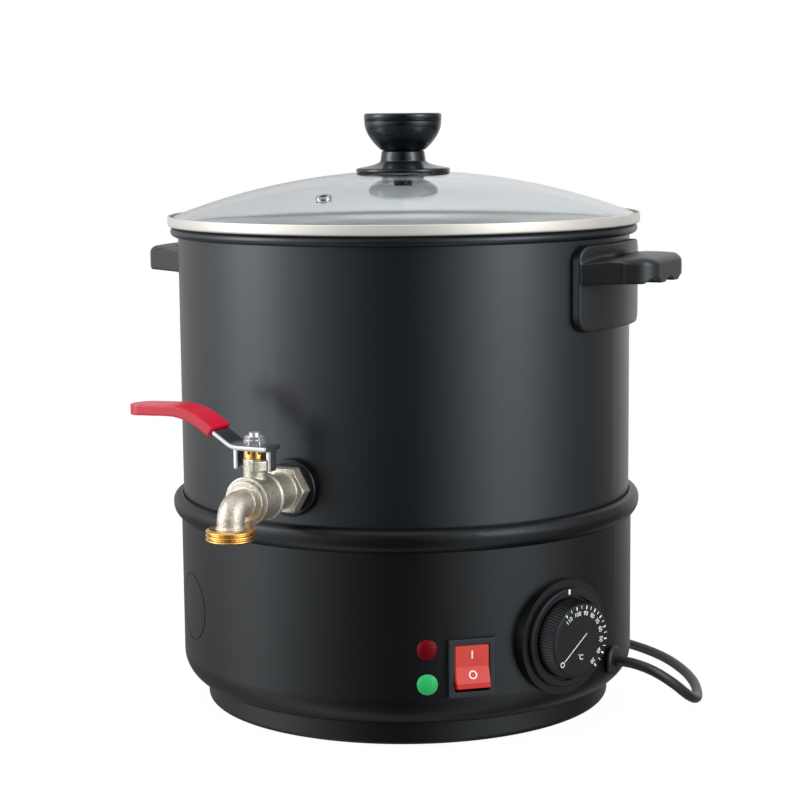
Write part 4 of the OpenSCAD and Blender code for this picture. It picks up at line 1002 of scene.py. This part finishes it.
def make_stem_nut():
    """A hexagon nut with chamfered corners, and a narrower hexagon above."""
    low, flat, upper, bore, steps = 0.176, 0.005, 0.0046, 0.00305, 120
    corner = 1.155
    rows, points = [], []
    # Height, half the width across flats, and the radius that cuts the corners off
    for z, half, cut in (
        (low, flat, flat * 0.98), (low + 0.0004, flat, flat * corner),
        (low + 0.0026, flat, flat * corner), (low + 0.0031, flat, flat * 0.99),
        (low + 0.00315, upper, upper), (low + 0.0034, upper, upper * corner),
        (low + 0.0045, upper, upper * corner), (low + 0.005, upper, upper * 0.96),
        (low + 0.005, bore, bore), (low, bore, bore),
    ):
        rows.append(range(len(points), len(points) + steps))
        for k in range(steps):
            a = 2 * math.pi * (k + 0.5) / steps
            facet = half / math.cos((a + math.pi / 6) % (math.pi / 3) - math.pi / 6)
            r = bore if half == bore else min(facet, cut)
            points.append((r * math.cos(a), STEM_Y + r * math.sin(a), z))
    nut = mesh_from("stem_nut", points, skin(rows + rows[:1]), smooth=False)
    add_piece("stem_nut", nut, FINISH["nut_chrome"], "valve_lever", ("lever_nut",))


def make_rim():
    """The lid's rolled steel band, turned finer than its solid."""
    low, tall, skirt, hang, band, roll = 0.2844, 0.0059, 0.1313, 0.006, 0.0009, 0.0011
    high = low + tall
    outline = [(skirt - band, low - hang), (skirt, low - hang), (skirt, low), (RIM_R - roll, low)]
    outline += arc(RIM_R - roll, low + roll, roll, -80, 0, 8)
    outline += arc(RIM_R - band / 2, high - band / 2, band / 2, 0, 180, 10)
    outline += [(RIM_R - band, low + roll + 0.0008)]
    outline += arc(RIM_R - roll, low + roll, roll, 65, 180, 8)
    outline += [(RIM_R - 2 * roll, low + band), (skirt - band, low + band), (skirt - band, low - hang)]
    mesh = turned("steel_rim", outline, 480)
    add_piece("steel_rim", mesh, FINISH["rim_steel"], "lid", ("lid_rim",))


def make_knob():
    """The lid's knob: a flange on the glass that sweeps up into a neck, a bowl and its cap."""
    glass_ball, flange, neck, bowl, top, hole = 0.377, 0.0278, 0.0126, 0.0123, 0.0229, 0.0026
    cap_tall, seam, corner = 0.0047, 0.00015, 0.0014
    low, high = DOME_TOP + 0.0116, DOME_TOP + 0.0336 - cap_tall
    # The flange, from the hole of the screw out along the glass and up the sweep
    foot = [
        (r, DOME_TOP + math.sqrt(glass_ball**2 - r**2) - glass_ball + 0.00002)
        for r in (hole, 0.01, 0.018, 0.0274)
    ]
    foot += [(flange, DOME_TOP - 0.0007), (flange, DOME_TOP + 0.0008), (flange - 0.0003, DOME_TOP + 0.0012)]
    for k in range(41):
        t = k / 40
        foot.append((0.0133 + 0.0132 * (1 - t) ** 2.4, DOME_TOP + 0.0016 + 0.0050 * t))
    foot += [(neck + 0.0001, low - 0.0008), (neck - 0.0002, low - 0.0001), (hole, low - 0.0001)]
    grip = [(0.0, low), (bowl - 0.0006, low), (bowl, low + 0.0003)]
    for k in range(2, 61):
        t = k / 60
        swell = math.sin(math.radians(90 * t)) ** 0.85
        grip.append((bowl + (top - 0.0001 - bowl) * swell, low + (high - low) * t))
    grip += [(top - 0.0004, high + 0.0001), (0.0, high + 0.0001)]
    lid_top = high + cap_tall
    cap = [(0.0, high + seam), (top - 0.0004, high + seam), (top, high + 0.0005)]
    cap += arc(top - corner, lid_top - corner, corner, 0, 100, 12)
    cap += [(top - 0.0021, lid_top - 0.0003), (top - 0.0027, lid_top - 0.0005), (0.0, lid_top - 0.0005)]
    for name, node, outline in (
        ("knob_flange", "knob_foot", foot), ("knob_grip", "lid_knob", grip), ("knob_top", "knob_cap", cap)
    ):
        add_piece(name, turned(name, outline), FINISH["gloss_black"], "lid", (node,))


make_stem_nut()
make_rim()
make_knob()

# ---- CAD nodes whose own shape is right: their finishes ----
CARRIED = {
    "base_shell": "base_plastic", "base_plate": "plate_plastic", "rubber_feet": "rubber",
    "base_screws": "steel", "pot_seat_ring": "red_rubber", "pot": "pot_coat",
    "heater_plate": "aluminium", "heating_element": "element", "heat_shield": "steel",
    "heater_studs": "steel", "stud_nuts": "steel", "thermal_cutout": "cream_plastic",
    "sensor_bulb": "copper", "terminal_block": "cream_plastic", "inner_wires": "wire_pvc",
    "thermostat_body": "cream_plastic", "thermostat_screws": "steel", "thermostat_shaft": "brass",
    "dial_bezel": "dial_plastic", "dial_index": "white_mark",
    "lamp_holders": "cream_plastic", "handle_screws": "steel", "spigot_gasket": "gasket_rubber",
    "spigot_washer": "red_rubber", "lock_nut": "nickel", "ball_seats": "ptfe", "valve_ball": "chrome",
    "valve_stem": "nut_chrome", "stem_packing": "ptfe", "lid_glass": "glass", "lid_seal": "clear_rubber",
    "knob_washer": "knob_washer", "knob_screw": "dark_screw", "vent_eyelet": "chrome",
    "cord_grommet": "rubber", "cord_clamp": "cream_plastic", "plug_pins": "pin_metal",
}
for node_name, finish_name in CARRIED.items():
    nodes[node_name].data.materials.clear()
    nodes[node_name].data.materials.append(FINISH[finish_name])

# ---- Stage ----

# How bright the room is at each angle round the pot, from the camera's side towards its right
ROOM = (
    (-180, 0.6), (-150, 0.6), (-125, 0.8), (-108, 1.2), (-95, 2.5), (-84, 3.6), (-72, 3.4), (-60, 2.2),
    (-45, 1.2), (-30, 0.6), (-15, 0.22), (-4, 0.03), (4, 0.03), (12, 0.3), (24, 1.0), (36, 2.1), (48, 3.2),
    (62, 2.8), (76, 1.4), (90, 0.6), (105, 0.35), (125, 0.35), (150, 0.9), (180, 0.8),
)
ROOM_TOP = 4.0


def make_floor():
    """A round white floor that holds the shadow. Glossy pieces don't mirror it, and it's clear from below."""
    glow, glow_share, corners = 1.08, 0.9, 72
    angles = [2 * math.pi * k / corners for k in range(corners)]
    points = [(math.cos(a), math.sin(a), 0) for a in angles]
    floor = mesh_from("floor", points, [list(range(corners))], smooth=False)
    place_object("floor", floor)
    material, tree, shader = new_material(
        "pale floor", {"Base Color": rgb(0.35, 0.35, 0.35), "Roughness": 0.9, "Specular IOR Level": 0.1}
    )
    light = set_inputs(tree, add_node(tree, "ShaderNodeEmission"), {"Strength": glow})
    path = add_node(tree, "ShaderNodeLightPath").outputs
    below = add_node(tree, "ShaderNodeNewGeometry").outputs["Backfacing"]
    clear = add_node(tree, "ShaderNodeBsdfTransparent")
    lit, seen = add_node(tree, "ShaderNodeMixShader"), add_node(tree, "ShaderNodeMixShader")
    for mix, share, one, two in (
        (lit, math_node(tree, "MULTIPLY", path["Is Camera Ray"], glow_share), shader, light),
        (seen, math_node(tree, "MAXIMUM", path["Is Glossy Ray"], below), lit, clear),
    ):
        tree.links.new(share, mix.inputs[0])
        tree.links.new(one.outputs[0], mix.inputs[1])
        tree.links.new(two.outputs[0], mix.inputs[2])
    tree.links.new(seen.outputs[0], tree.nodes["Material Output"].inputs["Surface"])
    floor.materials.append(material)


def smooth_range(tree, value, low, high, to_low):
    """A value's smooth climb from to_low to 1 between two limits."""
    limits = {"Value": value, "From Min": low, "From Max": high, "To Min": to_low, "To Max": 1.0}
    node = add_node(tree, "ShaderNodeMapRange", interpolation_type="SMOOTHSTEP")
    return set_inputs(tree, node, limits).outputs[0]


def make_room():
    """A white background, and a room round the pot whose brightness changes with the angle."""
    world = bpy.data.worlds.new("studio")
    bpy.context.scene.world = world
    world.use_nodes = True
    tree = world.node_tree
    where = add_node(tree, "ShaderNodeTexCoord").outputs["Generated"]
    front = (math.sin(math.radians(PHOTO_AZ)), -math.cos(math.radians(PHOTO_AZ)))
    along = []
    for direction in ((front[0], front[1], 0), (-front[1], front[0], 0)):
        dot = add_node(tree, "ShaderNodeVectorMath", operation="DOT_PRODUCT")
        feed(tree, dot.inputs[0], where)
        feed(tree, dot.inputs[1], direction)
        along.append(dot.outputs["Value"])
    turn = math_node(tree, "ARCTAN2", along[1], along[0])
    place = add_node(tree, "ShaderNodeMapRange")
    set_inputs(tree, place, {"Value": turn, "From Min": -math.pi, "From Max": math.pi})
    ramp = add_node(tree, "ShaderNodeValToRGB")
    tree.links.new(place.outputs[0], ramp.inputs["Fac"])
    stops = ramp.color_ramp.elements
    while len(stops) < len(ROOM):
        stops.new(0.5)
    for stop, (angle, bright) in zip(stops, ROOM):
        stop.position = (angle + 180) / 360
        stop.color = rgb(*[bright / ROOM_TOP] * 3)
    # Dimmer towards the floor, and plain white overhead
    height = split_xyz(tree, where)["Z"]
    side = math_node(tree, "MULTIPLY", ramp.outputs["Color"], ROOM_TOP)
    side = math_node(tree, "MULTIPLY", side, smooth_range(tree, height, -0.32, -0.08, 0.35))
    whole = mix_value(tree, smooth_range(tree, height, 0.45, 0.95, 0.0), side, 1.0)
    # What the camera sees directly or through glass is white
    path = add_node(tree, "ShaderNodeLightPath").outputs
    seen = math_node(tree, "MAXIMUM", path["Is Camera Ray"], path["Is Transmission Ray"])
    background = {"Color": rgb(1, 1, 1), "Strength": mix_value(tree, seen, whole, 1.0)}
    set_inputs(tree, tree.nodes["Background"], background)


def make_lamps():
    """Three soft boxes. The top one isn't mirrored, because the lid would show its outline."""
    for name, az, high, away, width, tall, power, mirrored in (
        ("soft box left", -52, 0.75, 1.5, 0.7, 1.0, 7.0, True),
        ("soft box right", 80, 0.75, 1.6, 0.6, 1.0, 6.0, True),
        ("soft box top", PHOTO_AZ, 1.9, 0.5, 1.2, 1.0, 14.0, False),
    ):
        data = bpy.data.lights.new(name, "AREA")
        data.shape = "RECTANGLE"
        data.size, data.size_y = width, tall
        data.energy = power
        lamp = place_object(name, data)
        a = math.radians(az)
        lamp.location = (away * math.sin(a), -away * math.cos(a), high)
        lamp.visible_glossy = mirrored
        lamp.rotation_euler = (Vector((0, 0, 0.2)) - lamp.location).to_track_quat("-Z", "Y").to_euler()


make_floor()
make_room()
make_lamps()
bpy.context.scene.view_settings.view_transform = "Standard"
